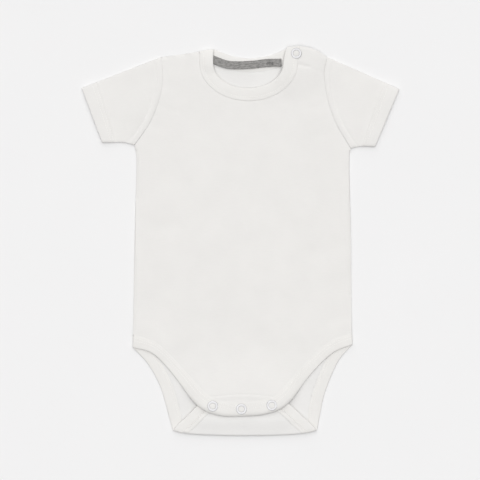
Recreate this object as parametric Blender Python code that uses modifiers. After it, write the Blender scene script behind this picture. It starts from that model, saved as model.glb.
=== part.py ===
"""Baby bodysuit with short sleeves, laid flat with its front up and closed by its snaps.

Every cut piece is a thin wall of cloth in its own object. The back lies on the ground and its
crotch tab turns up over a soft fold, the front lies on the back, and bindings run along the
neck and the leg openings. Left and right are the viewer's, +Y points to the neck.
"""

import math
from collections import namedtuple

import bmesh
import bpy
from mathutils import Vector

for old in list(bpy.data.objects):
    bpy.data.objects.remove(old)
garment = bpy.data.collections.new("baby_bodysuit")
bpy.context.scene.collection.children.link(garment)
root = bpy.data.objects.new("baby_bodysuit_root", None)
garment.objects.link(root)

MM = 0.001  # sizes below are in millimetres, meshes are in metres

# Driving dimensions of the cloth.
CLOTH = 1.0  # wall of one layer of jersey
BAND = 1.6  # wall of a rib binding, a strip folded over the raw edge
TAPE = 1.0  # wall of the neck tape
SEAM = 0.3  # gap between pieces that are sewn or lie together
REST = CLOTH + SEAM  # underside of a layer that lies on the back
CELL = 16.0  # mesh size of the body panels
NEAR_CUT = 0.4  # a mesh point this near a line of the mesh moves onto it
STEP = 6.0  # spacing of the sections along an edge
EDGE_BEVEL = 1 / 3  # how far a binding's edge tapers, as a share of its wall

# The fold at the bottom, where the back turns up into the crotch tab.
FOLD_RADIUS = 2.0
FOLD_Y = -195.0
FOLD_CENTRE = 3.9
FOLD_HALF = 70.0
FOLD_BOW = 2.6
FOLD_CORNER = 2.1
FOLD_SIDES = 6
FOLD_LENGTH = math.pi * FOLD_RADIUS

# The tab rises softly in front of the front binding's edge.
TAB_PUFF = 1.25
TAB_PUFF_ENDS = (-171.8, -178.6)
TAB_PUFF_SIDE = (38.0, 58.0)
TAB_PUFF_START = 12.4  # length of the rise from the fold

# Neck opening: the front is a half ellipse under straight sides, the back a shallow bow.
NECK_WIDTH = 12.7  # the binding's width on the back
NECK_Y = 178.0
NECK_EDGE = (7.7, 35.0, 25.0)  # centre x, half width, depth
NECK_SEAM = (8.1, 49.0, 37.7)
NECK_SIDES = 22
BACK_NECK_X = 9.5
BACK_NECK_Y = 182.9
BACK_NECK_HALF = 35.2
BACK_NECK_RISE = 9.0
BACK_NECK_SIDES = 10
END_NUDGE = Vector((0.7, 0.35))  # from the back neck's corner to the sections beside it
SHOULDER_EDGE = Vector((-27.0, 192.3))  # neck end of the left shoulder
SHOULDER_SEAM = Vector((-41.0, 190.0))  # where the neck binding's seam meets that shoulder

# Snaps.
RING_RADIUS = 5.35
RING_HOLE = 3.0
RING_HEIGHT = 0.7
BASE_RADIUS = 4.8
BASE_HEIGHT = 0.8
SOCKET_RADIUS = 4.4
SOCKET_HOLE = 2.8
SOCKET_HEIGHT = 0.9
STUD_RADIUS = 4.3
STUD_HEIGHT = 0.5
STUD_HEAD_RADIUS = 2.3
STUD_HEAD_HEIGHT = 0.8
CHAMFER = 0.2
RING_CHAMFER = 0.3
SNAP_SIDES = 16
RING_SIDES = 24

# Edges of the garment, a row for each place, with the left and the right side's point.
Edge = namedtuple("Edge", "place left_x left_y right_x right_y")

ARMHOLE = [
    Edge("underarm", -106.3, 95.7, 110.4, 92.4),
    Edge("low", -90.9, 118.1, 95.9, 117.3),
    Edge("middle", -81.0, 143.0, 87.2, 142.1),
    Edge("high", -77.7, 166.0, 83.5, 168.0),
    Edge("shoulder", -79.8, 183.9, 86.6, 184.0),
]
SIDE = [
    Edge("underarm", -106.3, 95.7, 110.4, 92.4),
    Edge("chest", -104.0, 78.0, 108.9, 78.0),
    Edge("waist", -105.8, 8.0, 110.5, 8.0),
    Edge("hip", -107.4, -91.0, 111.3, -89.0),
]
# Leg bindings, a row for each place, with the outer edge's and the seam's point on both sides.
Binding = namedtuple("Binding", "place left left_seam right right_seam")

LEG_FRONT = [
    Binding("side", (-107.9, -106.6), (-107.4, -94.5), (112.2, -103.4), (111.3, -92.5)),
    Binding("hip", (-87.3, -113.0), (-83.0, -103.5), (91.4, -112.6), (87.0, -103.0)),
    Binding("thigh", (-67.5, -133.8), (-58.6, -127.4), (69.8, -134.0), (61.0, -127.6)),
    Binding("groin", (-43.4, -164.3), (-33.4, -154.3), (47.1, -162.9), (37.2, -153.0)),
    Binding("flap", (-21.0, -174.4), (-15.8, -161.0), (26.0, -172.8), (20.6, -159.8)),
    Binding("middle", (2.3, -175.2), (2.3, -161.9), (2.3, -175.2), (2.3, -161.9)),
]
LEG_BACK = [
    Binding("side", (-107.9, -106.6), (-107.4, -94.5), (112.2, -103.4), (111.3, -92.5)),
    Binding("seat", (-92.3, -123.8), (-84.6, -116.5), (97.5, -121.1), (89.8, -113.4)),
    Binding("thigh", (-80.0, -146.8), (-69.8, -142.5), (84.6, -151.5), (74.2, -148.0)),
    Binding("crease", (-71.6, -176.0), (-60.9, -173.2), (79.2, -176.0), (68.6, -173.0)),
]
TAB = [
    Binding("root", (-65.4, -187.0), (-57.0, -191.5), (74.0, -186.6), (65.5, -191.8)),
    Binding("side", (-54.0, -175.7), (-45.5, -184.0), (61.0, -174.2), (52.5, -182.7)),
    Binding("neck", (-41.5, -163.2), (-33.8, -172.4), (46.8, -161.4), (39.2, -170.9)),
    Binding("corner", (-27.5, -155.5), (-24.0, -167.0), (32.1, -155.4), (28.6, -167.0)),
    Binding("middle", (2.3, -153.6), (2.3, -165.6), (2.3, -153.6), (2.3, -165.6)),
]
LEFT_SHOULDER = [(-79.8, 183.9), (-60.5, 186.5), (-41.3, 189.6)]
RIGHT_SHOULDER_FRONT = [(58.9, 195.0), (68.1, 193.4), (77.3, 190.1), (86.6, 184.0)]
RIGHT_SHOULDER_BACK = [(59.2, 193.0), (68.1, 191.5), (77.3, 188.3), (86.6, 183.4)]
LEFT_FAN = [(-41.3, 189.6), (-38.2, 184.6)]  # where the back neck's seam swings to the shoulder
RIGHT_FAN = [(57.0, 184.6), (59.2, 193.0)]
RIGHT_NECK_EDGE = [(43.4, 182.5), (44.6, 188.0), (46.4, 193.7)]  # the front neck's right end
RIGHT_NECK_SEAM = [(57.4, 182.5), (58.0, 188.0), (58.9, 195.0)]
LEFT_NECK_EDGE = [(-27.2, 187.5), (-27.3, 182.5)]  # and its left end, from the shoulder down
LEFT_NECK_SEAM = [(-41.0, 187.0), (-41.0, 182.5)]
TAPE_MIDDLE = [(-29.5, 181.9), (-12.0, 176.0), (10.0, 175.9), (26.0, 177.7), (41.0, 178.0)]
TAPE_WIDTH = 7.3

# Cuff corners and a point in the middle of the underarm edge.
Sleeve = namedtuple("Sleeve", "name left cuff_low cuff_high underarm")

SLEEVES = [
    Sleeve("sleeve_left", True, (-138.4, 98.2), (-159.0, 153.0), (-118.0, 98.6)),
    Sleeve("sleeve_right", False, (134.6, 94.2), (159.0, 152.2), (120.0, 94.6)),
]
HEM_SHARE = 0.8  # where the turned hem begins on the way from the armhole to the cuff
HEM_WALL = 1.6
HEM_STEP = 0.005  # half the share over which the wall thickens
SLEEVE_SIDES = 8
SLEEVE_CROWN = 0.7

# Soft rises of the front's underside above its rest height; level is the flat share of a rise.
Lift = namedtuple("Lift", "place x y reach_x reach_y level height")

FRONT_LIFTS = [
    Lift("body", 2.0, -20.0, 112.0, 170.0, 0.0, 1.3),
    Lift("neck", 8.0, 186.0, 66.0, 52.0, 0.5, 0.9),
    Lift("tape end", -29.0, 180.0, 14.0, 14.0, 0.3, 1.35),
    Lift("shoulder snap", 55.8, 190.0, 38.0, 54.0, 0.36, 3.2),
    Lift("left hip", -100.0, -105.0, 30.0, 28.0, 0.6, 0.7),
    Lift("right hip", 105.0, -103.0, 30.0, 28.0, 0.6, 0.7),
]
BACK_LIFTS = [Lift("shoulder snap", 55.8, 187.5, 22.0, 22.0, 0.5, BASE_HEIGHT + SEAM)]
FLAP_LIFT = 5.0  # the front's rise over the tab and the snaps
FLAP_TOP = (-159.5, -104.0)  # where that rise starts to end and ends, going up the front
FLAP_SIDE = (38.0, 66.0)  # the same, going sideways from the middle
FLAP_MIDDLE = 2.3

Snap = namedtuple("Snap", "name x y carrier_bottom carrier_top")

TAB_TOP = 2 * FOLD_RADIUS
CROTCH_CARRIER = (TAB_TOP - BAND, TAB_TOP)
SHOULDER_CARRIER = (BASE_HEIGHT + SEAM, BASE_HEIGHT + SEAM + BAND)
SNAPS = [
    Snap("snap_crotch_left", -27.75, -164.9, *CROTCH_CARRIER),
    Snap("snap_crotch_middle", 0.9, -167.8, *CROTCH_CARRIER),
    Snap("snap_crotch_right", 31.3, -164.1, *CROTCH_CARRIER),
    Snap("snap_shoulder", 55.8, 187.5, *SHOULDER_CARRIER),
]

# Colours, linear RGB.
WHITE_COTTON = (0.84, 0.82, 0.80)
GREY_TAPE = (0.30, 0.29, 0.28)
LILAC_PLASTIC = (0.66, 0.65, 0.70)
CLOTH_ROUGHNESS = 0.9
PLASTIC_ROUGHNESS = 0.35


def soft_step(value):
    """0 below 0, 1 above 1, and a soft S between."""
    value = min(1.0, max(0.0, value))
    return value * value * (3.0 - 2.0 * value)


def rise(lifts, x, y):
    total = 0.0
    for lift in lifts:
        away = math.hypot((x - lift.x) / lift.reach_x, (y - lift.y) / lift.reach_y)
        total += lift.height * soft_step((1.0 - away) / (1.0 - lift.level))
    return total


def flap_rise(x, y):
    up = soft_step((FLAP_TOP[1] - y) / (FLAP_TOP[1] - FLAP_TOP[0]))
    across = soft_step((FLAP_SIDE[1] - abs(x - FLAP_MIDDLE)) / (FLAP_SIDE[1] - FLAP_SIDE[0]))
    return FLAP_LIFT * up * across


def on_front(point):
    """The front's underside at a plan point, and the way its cloth grows from there."""
    x, y = point
    height = REST + rise(FRONT_LIFTS, x, y) + flap_rise(x, y)
    return Vector((x, y, height)), Vector((0.0, 0.0, 1.0))


def fold_line(x):
    """Y of the bottom edge of the fold."""
    share = min(1.0, abs(x - FOLD_CENTRE) / FOLD_HALF)
    return FOLD_Y + FOLD_BOW * share**2 + FOLD_CORNER * share**10


def tab_puff(x, y):
    """The tab's soft rise in front of the front binding."""
    up = soft_step((y - fold_line(x) - FOLD_RADIUS) / TAB_PUFF_START)
    down = soft_step((TAB_PUFF_ENDS[0] - y) / (TAB_PUFF_ENDS[0] - TAB_PUFF_ENDS[1]))
    side = soft_step((TAB_PUFF_SIDE[1] - abs(x - FLAP_MIDDLE)) / (TAB_PUFF_SIDE[1] - TAB_PUFF_SIDE[0]))
    return TAB_PUFF * up * down * side


def on_back(point):
    """The back's outer side at a pattern point (x, height above the fold), and the way inwards."""
    x, above = point
    root = fold_line(x) + FOLD_RADIUS
    if above >= 0.0:
        y = root + above
        return Vector((x, y, rise(BACK_LIFTS, x, y))), Vector((0.0, 0.0, 1.0))
    if above > -FOLD_LENGTH:
        turn = -above / FOLD_RADIUS
        out = Vector((0.0, -math.sin(turn), -math.cos(turn)))
        return Vector((x, root, FOLD_RADIUS)) + FOLD_RADIUS * out, -out
    y = root - above - FOLD_LENGTH
    return Vector((x, y, TAB_TOP + tab_puff(x, y))), Vector((0.0, 0.0, -1.0))


def to_pattern(point, turned_up=False):
    """The back's pattern point for a plan point, on the panel or on the turned-up tab."""
    x, y = point
    above = y - fold_line(x) - FOLD_RADIUS
    return Vector((x, -above - FOLD_LENGTH if turned_up else above))


def curve_through(points, step=STEP):
    """Points about a step apart on a soft curve through the given ones."""
    knots = [Vector(point) for point in points]
    knots = [2 * knots[0] - knots[1]] + knots + [2 * knots[-1] - knots[-2]]
    line = []
    for a, b, c, d in zip(knots, knots[1:], knots[2:], knots[3:]):
        count = max(1, round((c - b).length / step))
        for index in range(count):
            t = index / count
            bend = (2 * a - 5 * b + 4 * c - d) * t**2 + (3 * b - a - 3 * c + d) * t**3
            line.append(b + 0.5 * ((c - a) * t + bend))
    line.append(knots[-2])
    return line


def moved_aside(line, distance):
    """A plan line moved to its left."""
    moved = []
    for index, point in enumerate(line):
        along = line[min(index + 1, len(line) - 1)] - line[max(index - 1, 0)]
        along.normalize()
        moved.append(point + distance * Vector((-along.y, along.x)))
    return moved


def vectors(points):
    return [Vector(point) for point in points]


def side_points(table, left):
    return [Vector((row.left_x, row.left_y) if left else (row.right_x, row.right_y)) for row in table]


def binding_lines(left_rows, right_rows, step):
    """Matching points on a binding's edge and seam, down the left rows and back up the right ones."""
    both = curve_through([(*edge, *seam) for edge, seam in left_rows + right_rows[-2::-1]], step)
    return [point.xy for point in both], [Vector(point[2:]) for point in both]


def side_rows(table, left):
    return [(row.left, row.left_seam) if left else (row.right, row.right_seam) for row in table]


def half_ellipse(shape, count):
    """The lower half of the neck's ellipse, from its left end to its right one."""
    centre, half_width, depth = shape
    line = []
    for index in range(count + 1):
        turn = math.pi * (1.0 + index / count)
        line.append(Vector((centre + half_width * math.cos(turn), NECK_Y + depth * math.sin(turn))))
    return line


def add_object(name, mesh, colour, roughness):
    material = bpy.data.materials.new(name)
    material.use_nodes = True
    shader = material.node_tree.nodes["Principled BSDF"]
    shader.inputs["Base Color"].default_value = (*colour, 1.0)
    shader.inputs["Roughness"].default_value = roughness
    shader.inputs["Metallic"].default_value = 0.0
    mesh.materials.append(material)
    thing = bpy.data.objects.new(name, mesh)
    garment.objects.link(thing)
    thing.parent = root
    return thing


def mesh_from(shape, name):
    bmesh.ops.scale(shape, vec=(MM, MM, MM), verts=shape.verts)
    bmesh.ops.recalc_face_normals(shape, faces=shape.faces)
    mesh = bpy.data.meshes.new(name)
    shape.to_mesh(mesh)
    shape.free()
    return mesh


def add_panel(name, outline, surface, cross_lines):
    """A cut piece: its flat outline is divided, laid on a surface and given its wall."""
    shape = bmesh.new()
    shape.faces.new([shape.verts.new((point.x, point.y, 0.0)) for point in outline])
    low = [min(point[axis] for point in outline) for axis in (0, 1)]
    high = [max(point[axis] for point in outline) for axis in (0, 1)]
    cuts = [(0, low[0] + CELL * index) for index in range(1, math.ceil((high[0] - low[0]) / CELL))]
    cuts += [(1, place) for place in cross_lines]
    for axis, place in cuts:
        point = [0.0, 0.0, 0.0]
        normal = [0.0, 0.0, 0.0]
        point[axis] = place
        normal[axis] = 1.0
        everything = shape.verts[:] + shape.edges[:] + shape.faces[:]
        bmesh.ops.bisect_plane(shape, geom=everything, plane_co=point, plane_no=normal, dist=NEAR_CUT)
    bmesh.ops.triangulate(shape, faces=shape.faces)
    inwards = {}
    for vertex in shape.verts:
        vertex.co, inwards[vertex] = surface(vertex.co.xy)
    outer = shape.faces[:]
    inner_vertices = {vertex: shape.verts.new(vertex.co + CLOTH * way) for vertex, way in inwards.items()}
    rim = [edge for edge in shape.edges if edge.is_boundary]
    for face in outer:
        shape.faces.new([inner_vertices[vertex] for vertex in reversed(face.verts)])
    for edge in rim:
        start, end = edge.verts
        shape.faces.new((start, end, inner_vertices[end], inner_vertices[start]))
    add_object(name, mesh_from(shape, name), WHITE_COTTON, CLOTH_ROUGHNESS)


def add_band(name, sections, wall, colour):
    """A binding: at each section its edge point and seam point, each with its way inwards."""
    shape = bmesh.new()
    rings = []
    for (edge, edge_way), (seam, seam_way) in sections:
        inset = (seam - edge).normalized() * wall * EDGE_BEVEL
        corners = [
            edge + edge_way * wall / 2,
            edge + inset,
            seam,
            seam + seam_way * wall,
            edge + inset + edge_way * wall,
        ]
        rings.append([shape.verts.new(corner) for corner in corners])
    for ring, following in zip(rings, rings[1:]):
        for index in range(len(ring)):
            after = (index + 1) % len(ring)
            shape.faces.new((ring[index], ring[after], following[after], following[index]))
    shape.faces.new(rings[0])
    shape.faces.new(rings[-1])
    add_object(name, mesh_from(shape, name), colour, CLOTH_ROUGHNESS)


def strip(edge, seam, surface):
    """Sections of a binding between its edge line and its seam line on one surface."""
    return [(surface(a), surface(b)) for a, b in zip(edge, seam)]


def side_outline():
    """The body's side edges up to the armholes' tops: the left side upwards, then the right side."""
    left_side = curve_through(side_points(SIDE, True))[::-1]
    left_armhole = curve_through(side_points(ARMHOLE, True))[1:]
    right_armhole = curve_through(side_points(ARMHOLE, False))[::-1]
    right_side = curve_through(side_points(SIDE, False))[1:]
    return left_side + left_armhole, right_armhole + right_side


def back_neck_line():
    """The back's neck edge from left to right, and its binding's seam, which fans at the shoulders."""
    edge = []
    for index in range(BACK_NECK_SIDES + 1):
        share = 2.0 * index / BACK_NECK_SIDES - 1.0
        x = BACK_NECK_X + BACK_NECK_HALF * share
        edge.append(Vector((x, BACK_NECK_Y + BACK_NECK_RISE * share**2)))
    return edge, moved_aside(edge, -NECK_WIDTH)


def seam_gap(edge, seam):
    """A binding's seam line, drawn back from the panel that it is sewn to."""
    return [outer + SEAM * (inner - outer).normalized() for inner, outer in zip(edge, seam)]


def make_front():
    left_edge, right_edge = side_outline()
    leg_edge, leg_seam = binding_lines(side_rows(LEG_FRONT, True), side_rows(LEG_FRONT, False), STEP)
    neck = half_ellipse(NECK_SEAM, NECK_SIDES)
    outline = left_edge
    outline += curve_through(LEFT_SHOULDER)[1:]
    outline += neck
    outline += curve_through(RIGHT_SHOULDER_FRONT)[:-1]
    outline += right_edge + leg_seam[::-1]
    rows = [FLAP_TOP[0], -152.0] + [CELL * index for index in range(-9, 12)]
    add_panel("front_body", outline, on_front, rows)
    add_band("leg_binding_front", strip(leg_edge, seam_gap(leg_edge, leg_seam), on_front), BAND, WHITE_COTTON)


def in_fold(point):
    return -FOLD_LENGTH - FOLD_RADIUS < point.y < FOLD_RADIUS


def back_leg_lines():
    """The back binding's edge and seam on the pattern: down the left leg, over the fold, round
    the tab and back up the right leg, with many points in the fold and fewer elsewhere."""
    halves = []
    for left in (True, False):
        rows = [[to_pattern(point) for point in row] for row in side_rows(LEG_BACK, left)]
        rows += [[to_pattern(point, True) for point in row] for row in side_rows(TAB, left)]
        halves.append(rows)
    edge, seam = binding_lines(*halves, 1.0)
    spacing = round(STEP)
    kept = [
        index
        for index in range(len(edge))
        if index % spacing == 0 or index == len(edge) - 1 or in_fold(edge[index]) or in_fold(seam[index])
    ]
    return [edge[index] for index in kept], [seam[index] for index in kept]


def make_back():
    left_edge, right_edge = side_outline()
    edge, seam = back_leg_lines()
    neck_seam = back_neck_line()[1]
    top = left_edge + curve_through(LEFT_SHOULDER)[1:-1]
    top += vectors(LEFT_FAN) + neck_seam + vectors(RIGHT_FAN)
    top += curve_through(RIGHT_SHOULDER_BACK)[1:-1] + right_edge
    outline = [to_pattern(point) for point in top] + seam[::-1]
    fold_rows = [-FOLD_LENGTH * index / FOLD_SIDES for index in range(FOLD_SIDES + 1)]
    tab_rows = [-FOLD_LENGTH - height for height in (5.5, 10.0, 14.4, 18.0, 21.2, 28.0)]
    rows = fold_rows + tab_rows + [CELL * index for index in range(1, 25)]
    add_panel("back_body", outline, on_back, rows)
    add_band("leg_binding_back", strip(edge, seam_gap(edge, seam), on_back), BAND, WHITE_COTTON)


def front_neck_lines():
    """The front neck's edge and seam from the left shoulder's fold round to the right shoulder."""
    edge = vectors(LEFT_NECK_EDGE) + half_ellipse(NECK_EDGE, NECK_SIDES) + vectors(RIGHT_NECK_EDGE)
    seam = vectors(LEFT_NECK_SEAM) + half_ellipse(NECK_SEAM, NECK_SIDES) + vectors(RIGHT_NECK_SEAM)
    return edge, seam_gap(edge, seam)


def shoulder_fold(edge_start, seam_start):
    """Sections of the neck binding where it turns over the left shoulder, from front to back."""
    along = (SHOULDER_SEAM - SHOULDER_EDGE).normalized()
    outwards = Vector((along.y, -along.x, 0.0))
    sections = []
    for index in range(FOLD_SIDES + 1):
        turn = math.pi * index / FOLD_SIDES
        way = math.sin(turn) * outwards + Vector((0.0, 0.0, math.cos(turn)))
        section = []
        for corner in (edge_start, seam_start):
            radius = (on_front(corner)[0].z + BAND) / 2
            root = corner.to_3d() - radius * outwards + Vector((0.0, 0.0, radius))
            section.append((root + (radius - BAND) * way, way))
        sections.append(tuple(section))
    return sections


def on_back_binding(point, wall=BAND):
    """The upper side of what lies flat on the ground at a plan point, and the way down."""
    return Vector((*point, rise(BACK_LIFTS, *point) + wall)), Vector((0.0, 0.0, -1.0))


def make_neck():
    edge, seam = front_neck_lines()
    front = strip(edge, seam, on_front)[::-1]
    fold = shoulder_fold(SHOULDER_EDGE, SHOULDER_SEAM + Vector((SEAM, 0.0)))
    edge, seam = back_neck_line()
    left_end = [edge[0], edge[0] + Vector((END_NUDGE.x, -END_NUDGE.y))]
    right_end = [edge[-1] - END_NUDGE, edge[-1], edge[-1] + END_NUDGE]
    edge = left_end + edge[1:-1] + right_end
    seam = vectors(LEFT_FAN[1:]) + seam + vectors(RIGHT_FAN)
    back = strip(edge, seam_gap(edge, seam), on_back_binding)
    add_band("neck_binding", front + fold + back, BAND, WHITE_COTTON)


def on_tape(point):
    return on_back_binding(point, BAND + SEAM + TAPE)


def make_tape():
    middle = curve_through(TAPE_MIDDLE)
    top = moved_aside(middle, TAPE_WIDTH / 2)
    bottom = moved_aside(middle, -TAPE_WIDTH / 2)
    add_band("neck_tape", strip(top, bottom, on_tape), TAPE, GREY_TAPE)


def point_along(line, share):
    """The point at a share of a line's length."""
    lengths = [(b - a).length for a, b in zip(line, line[1:])]
    rest = share * sum(lengths)
    for a, b, length in zip(line, line[1:], lengths):
        if rest <= length:
            return a.lerp(b, rest / length)
        rest -= length
    return line[-1].copy()


def sleeve_place(sleeve):
    """The plan point of a sleeve at shares out to the cuff and up from the underarm."""
    outwards = SEAM if sleeve.left else -SEAM
    armhole = moved_aside(curve_through(side_points(ARMHOLE, sleeve.left)), outwards)
    low = curve_through([armhole[0], sleeve.underarm, sleeve.cuff_low])
    cuff_low, cuff_high = Vector(sleeve.cuff_low), Vector(sleeve.cuff_high)

    def place(out, up):
        between_ends = point_along(armhole, up).lerp(cuff_low.lerp(cuff_high, up), out)
        top = armhole[-1].lerp(cuff_high, out)
        between_edges = point_along(low, out).lerp(top, up)
        corners = armhole[0].lerp(cuff_low, out).lerp(top, up)
        return between_ends + between_edges - corners

    return place


def sleeve_ring(place, out, wall, depth):
    """One ring of a flattened tube; depth 0 is its outer side and 1 its inner side."""
    length = (place(out, 1.0) - place(out, 0.0)).length
    inset = depth * wall / length
    near = inset + 1.0 / length
    low = depth * wall
    middle = wall + SEAM / 2
    crown = SLEEVE_CROWN * soft_step(3 * out)
    shares = [near + (1.0 - 2 * near) * index / SLEEVE_SIDES for index in range(SLEEVE_SIDES + 1)]
    upper = [(share, 2 * wall + SEAM - low + crown * math.sin(math.pi * share)) for share in shares]
    lower = [(share, low) for share in reversed(shares)]
    ring = [(inset, middle)] + upper + [(1.0 - inset, middle)] + lower
    return [Vector((*place(out, share), height)) for share, height in ring]


def make_sleeve(sleeve):
    place = sleeve_place(sleeve)
    rows = [(share * HEM_SHARE / 4, CLOTH) for share in range(4)]
    rows += [(HEM_SHARE - HEM_STEP, CLOTH), (HEM_SHARE + HEM_STEP, HEM_WALL)]
    rows += [((1.0 + HEM_SHARE) / 2, HEM_WALL), (1.0, HEM_WALL)]
    shape = bmesh.new()
    sides = []
    for depth in (0.0, 1.0):
        rings = []
        for out, wall in rows:
            rings.append([shape.verts.new(point) for point in sleeve_ring(place, out, wall, depth)])
        sides.append(rings)
    outer, inner = sides
    pairs = list(zip(outer, outer[1:])) + list(zip(inner, inner[1:]))
    pairs += [(outer[0], inner[0]), (outer[-1], inner[-1])]
    for ring, following in pairs:
        for index in range(len(ring)):
            after = (index + 1) % len(ring)
            shape.faces.new((ring[index], ring[after], following[after], following[index]))
    add_object(sleeve.name, mesh_from(shape, sleeve.name), WHITE_COTTON, CLOTH_ROUGHNESS)


def add_turned(name, profile, place, sides):
    """A turned piece: the profile's (radius, height) points, top to bottom on its outer side."""
    mesh = bpy.data.meshes.new(name)
    points = [(radius * MM, 0.0, height * MM) for radius, height in profile]
    edges = [(index, index + 1) for index in range(len(points) - 1)]
    if profile[0][0] > 0.0:
        edges.append((len(points) - 1, 0))
    mesh.from_pydata(points, edges, [])
    thing = add_object(name, mesh, LILAC_PLASTIC, PLASTIC_ROUGHNESS)
    thing.location = [value * MM for value in place]
    screw = thing.modifiers.new("Turn", "SCREW")
    screw.steps = sides
    screw.render_steps = sides
    screw.use_merge_vertices = True
    screw.merge_threshold = 0.00001


def ring_profile(hole, radius, height, chamfer):
    """A flat ring with a chamfered upper outer edge and inner edge."""
    return [
        (radius - chamfer, height),
        (radius, height - chamfer),
        (radius, 0.0),
        (hole, 0.0),
        (hole, height - chamfer),
        (hole + chamfer, height),
    ]


def front_heights(x, y, radius):
    """The front's underside round a circle and at its centre."""
    turns = [math.tau * index / 12 for index in range(12)]
    places = [(x, y)] + [(x + radius * math.cos(turn), y + radius * math.sin(turn)) for turn in turns]
    return [on_front(place)[0].z for place in places]


def make_snap(snap):
    base = snap.carrier_bottom - SEAM - BASE_HEIGHT
    stud = snap.carrier_top + SEAM
    socket = min(front_heights(snap.x, snap.y, SOCKET_RADIUS)) - SEAM - SOCKET_HEIGHT
    cap = max(front_heights(snap.x, snap.y, RING_RADIUS)) + BAND + SEAM
    stud_profile = [
        (0.0, STUD_HEIGHT + STUD_HEAD_HEIGHT),
        (STUD_HEAD_RADIUS, STUD_HEIGHT + STUD_HEAD_HEIGHT),
        (STUD_HEAD_RADIUS, STUD_HEIGHT),
        (STUD_RADIUS, STUD_HEIGHT),
        (STUD_RADIUS, 0.0),
        (0.0, 0.0),
    ]
    parts = [
        ("ring", ring_profile(RING_HOLE, RING_RADIUS, RING_HEIGHT, RING_CHAMFER), cap, RING_SIDES),
        ("socket", ring_profile(SOCKET_HOLE, SOCKET_RADIUS, SOCKET_HEIGHT, CHAMFER), socket, SNAP_SIDES),
        ("stud", stud_profile, stud, SNAP_SIDES),
        ("base", ring_profile(RING_HOLE, BASE_RADIUS, BASE_HEIGHT, CHAMFER), base, SNAP_SIDES),
    ]
    for part, profile, height, sides in parts:
        add_turned(f"{snap.name}_{part}", profile, (snap.x, snap.y, height), sides)


make_front()
make_back()
make_neck()
make_tape()
for sleeve in SLEEVES:
    make_sleeve(sleeve)
for snap in SNAPS:
    make_snap(snap)
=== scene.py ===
"""Baby bodysuit with short sleeves, laid flat with its front up and closed by its snaps.

The fixed model is loaded first. Each section after it makes one sewn part of the garment, from
the front panel to the snaps, with its cut, its cloth and its stitches. Left and right are the
viewer's, +Y points to the neck, and the cloth's own sizes are in millimetres.
"""

import math
from collections import namedtuple

import bmesh
import bpy
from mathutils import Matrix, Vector, noise
from mathutils.kdtree import KDTree


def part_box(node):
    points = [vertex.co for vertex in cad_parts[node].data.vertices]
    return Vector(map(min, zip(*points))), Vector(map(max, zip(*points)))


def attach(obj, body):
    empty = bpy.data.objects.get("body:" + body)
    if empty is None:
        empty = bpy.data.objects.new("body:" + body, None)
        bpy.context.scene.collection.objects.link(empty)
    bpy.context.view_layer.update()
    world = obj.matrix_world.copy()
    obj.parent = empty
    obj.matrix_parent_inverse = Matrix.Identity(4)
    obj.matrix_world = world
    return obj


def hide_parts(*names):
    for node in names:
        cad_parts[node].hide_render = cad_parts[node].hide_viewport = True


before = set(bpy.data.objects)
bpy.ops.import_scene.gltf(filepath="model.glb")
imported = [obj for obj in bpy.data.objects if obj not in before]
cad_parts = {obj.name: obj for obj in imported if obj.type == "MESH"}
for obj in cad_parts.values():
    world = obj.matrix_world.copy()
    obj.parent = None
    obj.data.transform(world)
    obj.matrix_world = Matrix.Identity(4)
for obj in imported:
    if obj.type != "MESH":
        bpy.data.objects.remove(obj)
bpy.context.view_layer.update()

MM = 0.001


# The camera looks straight down from far off, so that the flat garment keeps its proportions.
# Soft even light comes from beyond the neck, the room fills in the rest, and the floor is plain.
CAMERA_LENS = 200.0
CAMERA_CENTRE = Vector((-0.0005, 0.001, 0.004))
CAMERA_VIEW_WIDTH = 0.48
CAMERA_SENSOR = 36.0
Lamp = namedtuple("Lamp", "name direction spread strength")

LAMPS = [
    Lamp("window", (-0.06, 1.0, 1.0), 76.0, 1.27),
    Lamp("overhead", (0.0, -0.04, 1.0), 60.0, 1.69),
]
ROOM_LIGHT = (1.0, 0.995, 0.99)
ROOM_STRENGTH = 0.257
FLOOR_SIZE = 5.0
FLOOR_COLOUR = (0.82, 0.818, 0.82)


def fill_inputs(tree, node, inputs):
    """Sets a node's inputs, each to a value or to another node's output."""
    for name, value in inputs.items():
        if isinstance(value, bpy.types.NodeSocket):
            tree.links.new(value, node.inputs[name])
        else:
            node.inputs[name].default_value = value


def add_node(tree, kind, inputs, **settings):
    node = tree.nodes.new(kind)
    for name, value in settings.items():
        setattr(node, name, value)
    fill_inputs(tree, node, inputs)
    return node


def new_material(name):
    """A procedural material, its node tree and its shader."""
    material = bpy.data.materials.new(name)
    material.use_nodes = True
    return material, material.node_tree, material.node_tree.nodes["Principled BSDF"]


def object_place(tree):
    return add_node(tree, "ShaderNodeTexCoord", {}).outputs["Object"]


def noise_texture(tree, vector, scale, detail=2.0, roughness=0.5):
    inputs = {"Vector": vector, "Scale": scale, "Detail": detail, "Roughness": roughness}
    return add_node(tree, "ShaderNodeTexNoise", inputs).outputs["Fac"]


def colour_ramp(tree, factor, stops):
    ramp = add_node(tree, "ShaderNodeValToRGB", {"Fac": factor})
    for element, (position, colour) in zip(ramp.color_ramp.elements, stops):
        element.position = position
        element.color = (*colour, 1.0)
    return ramp.outputs["Color"]


def uneven_colour(tree, factor, colour, low, high):
    """A colour that changes with a factor; low and high are each a factor and the colour's share."""
    stops = [(position, [value * share for value in colour]) for position, share in (low, high)]
    return colour_ramp(tree, factor, stops)


def add_object(name, data):
    made = bpy.data.objects.new(name, data)
    bpy.context.scene.collection.objects.link(made)
    return made


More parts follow.
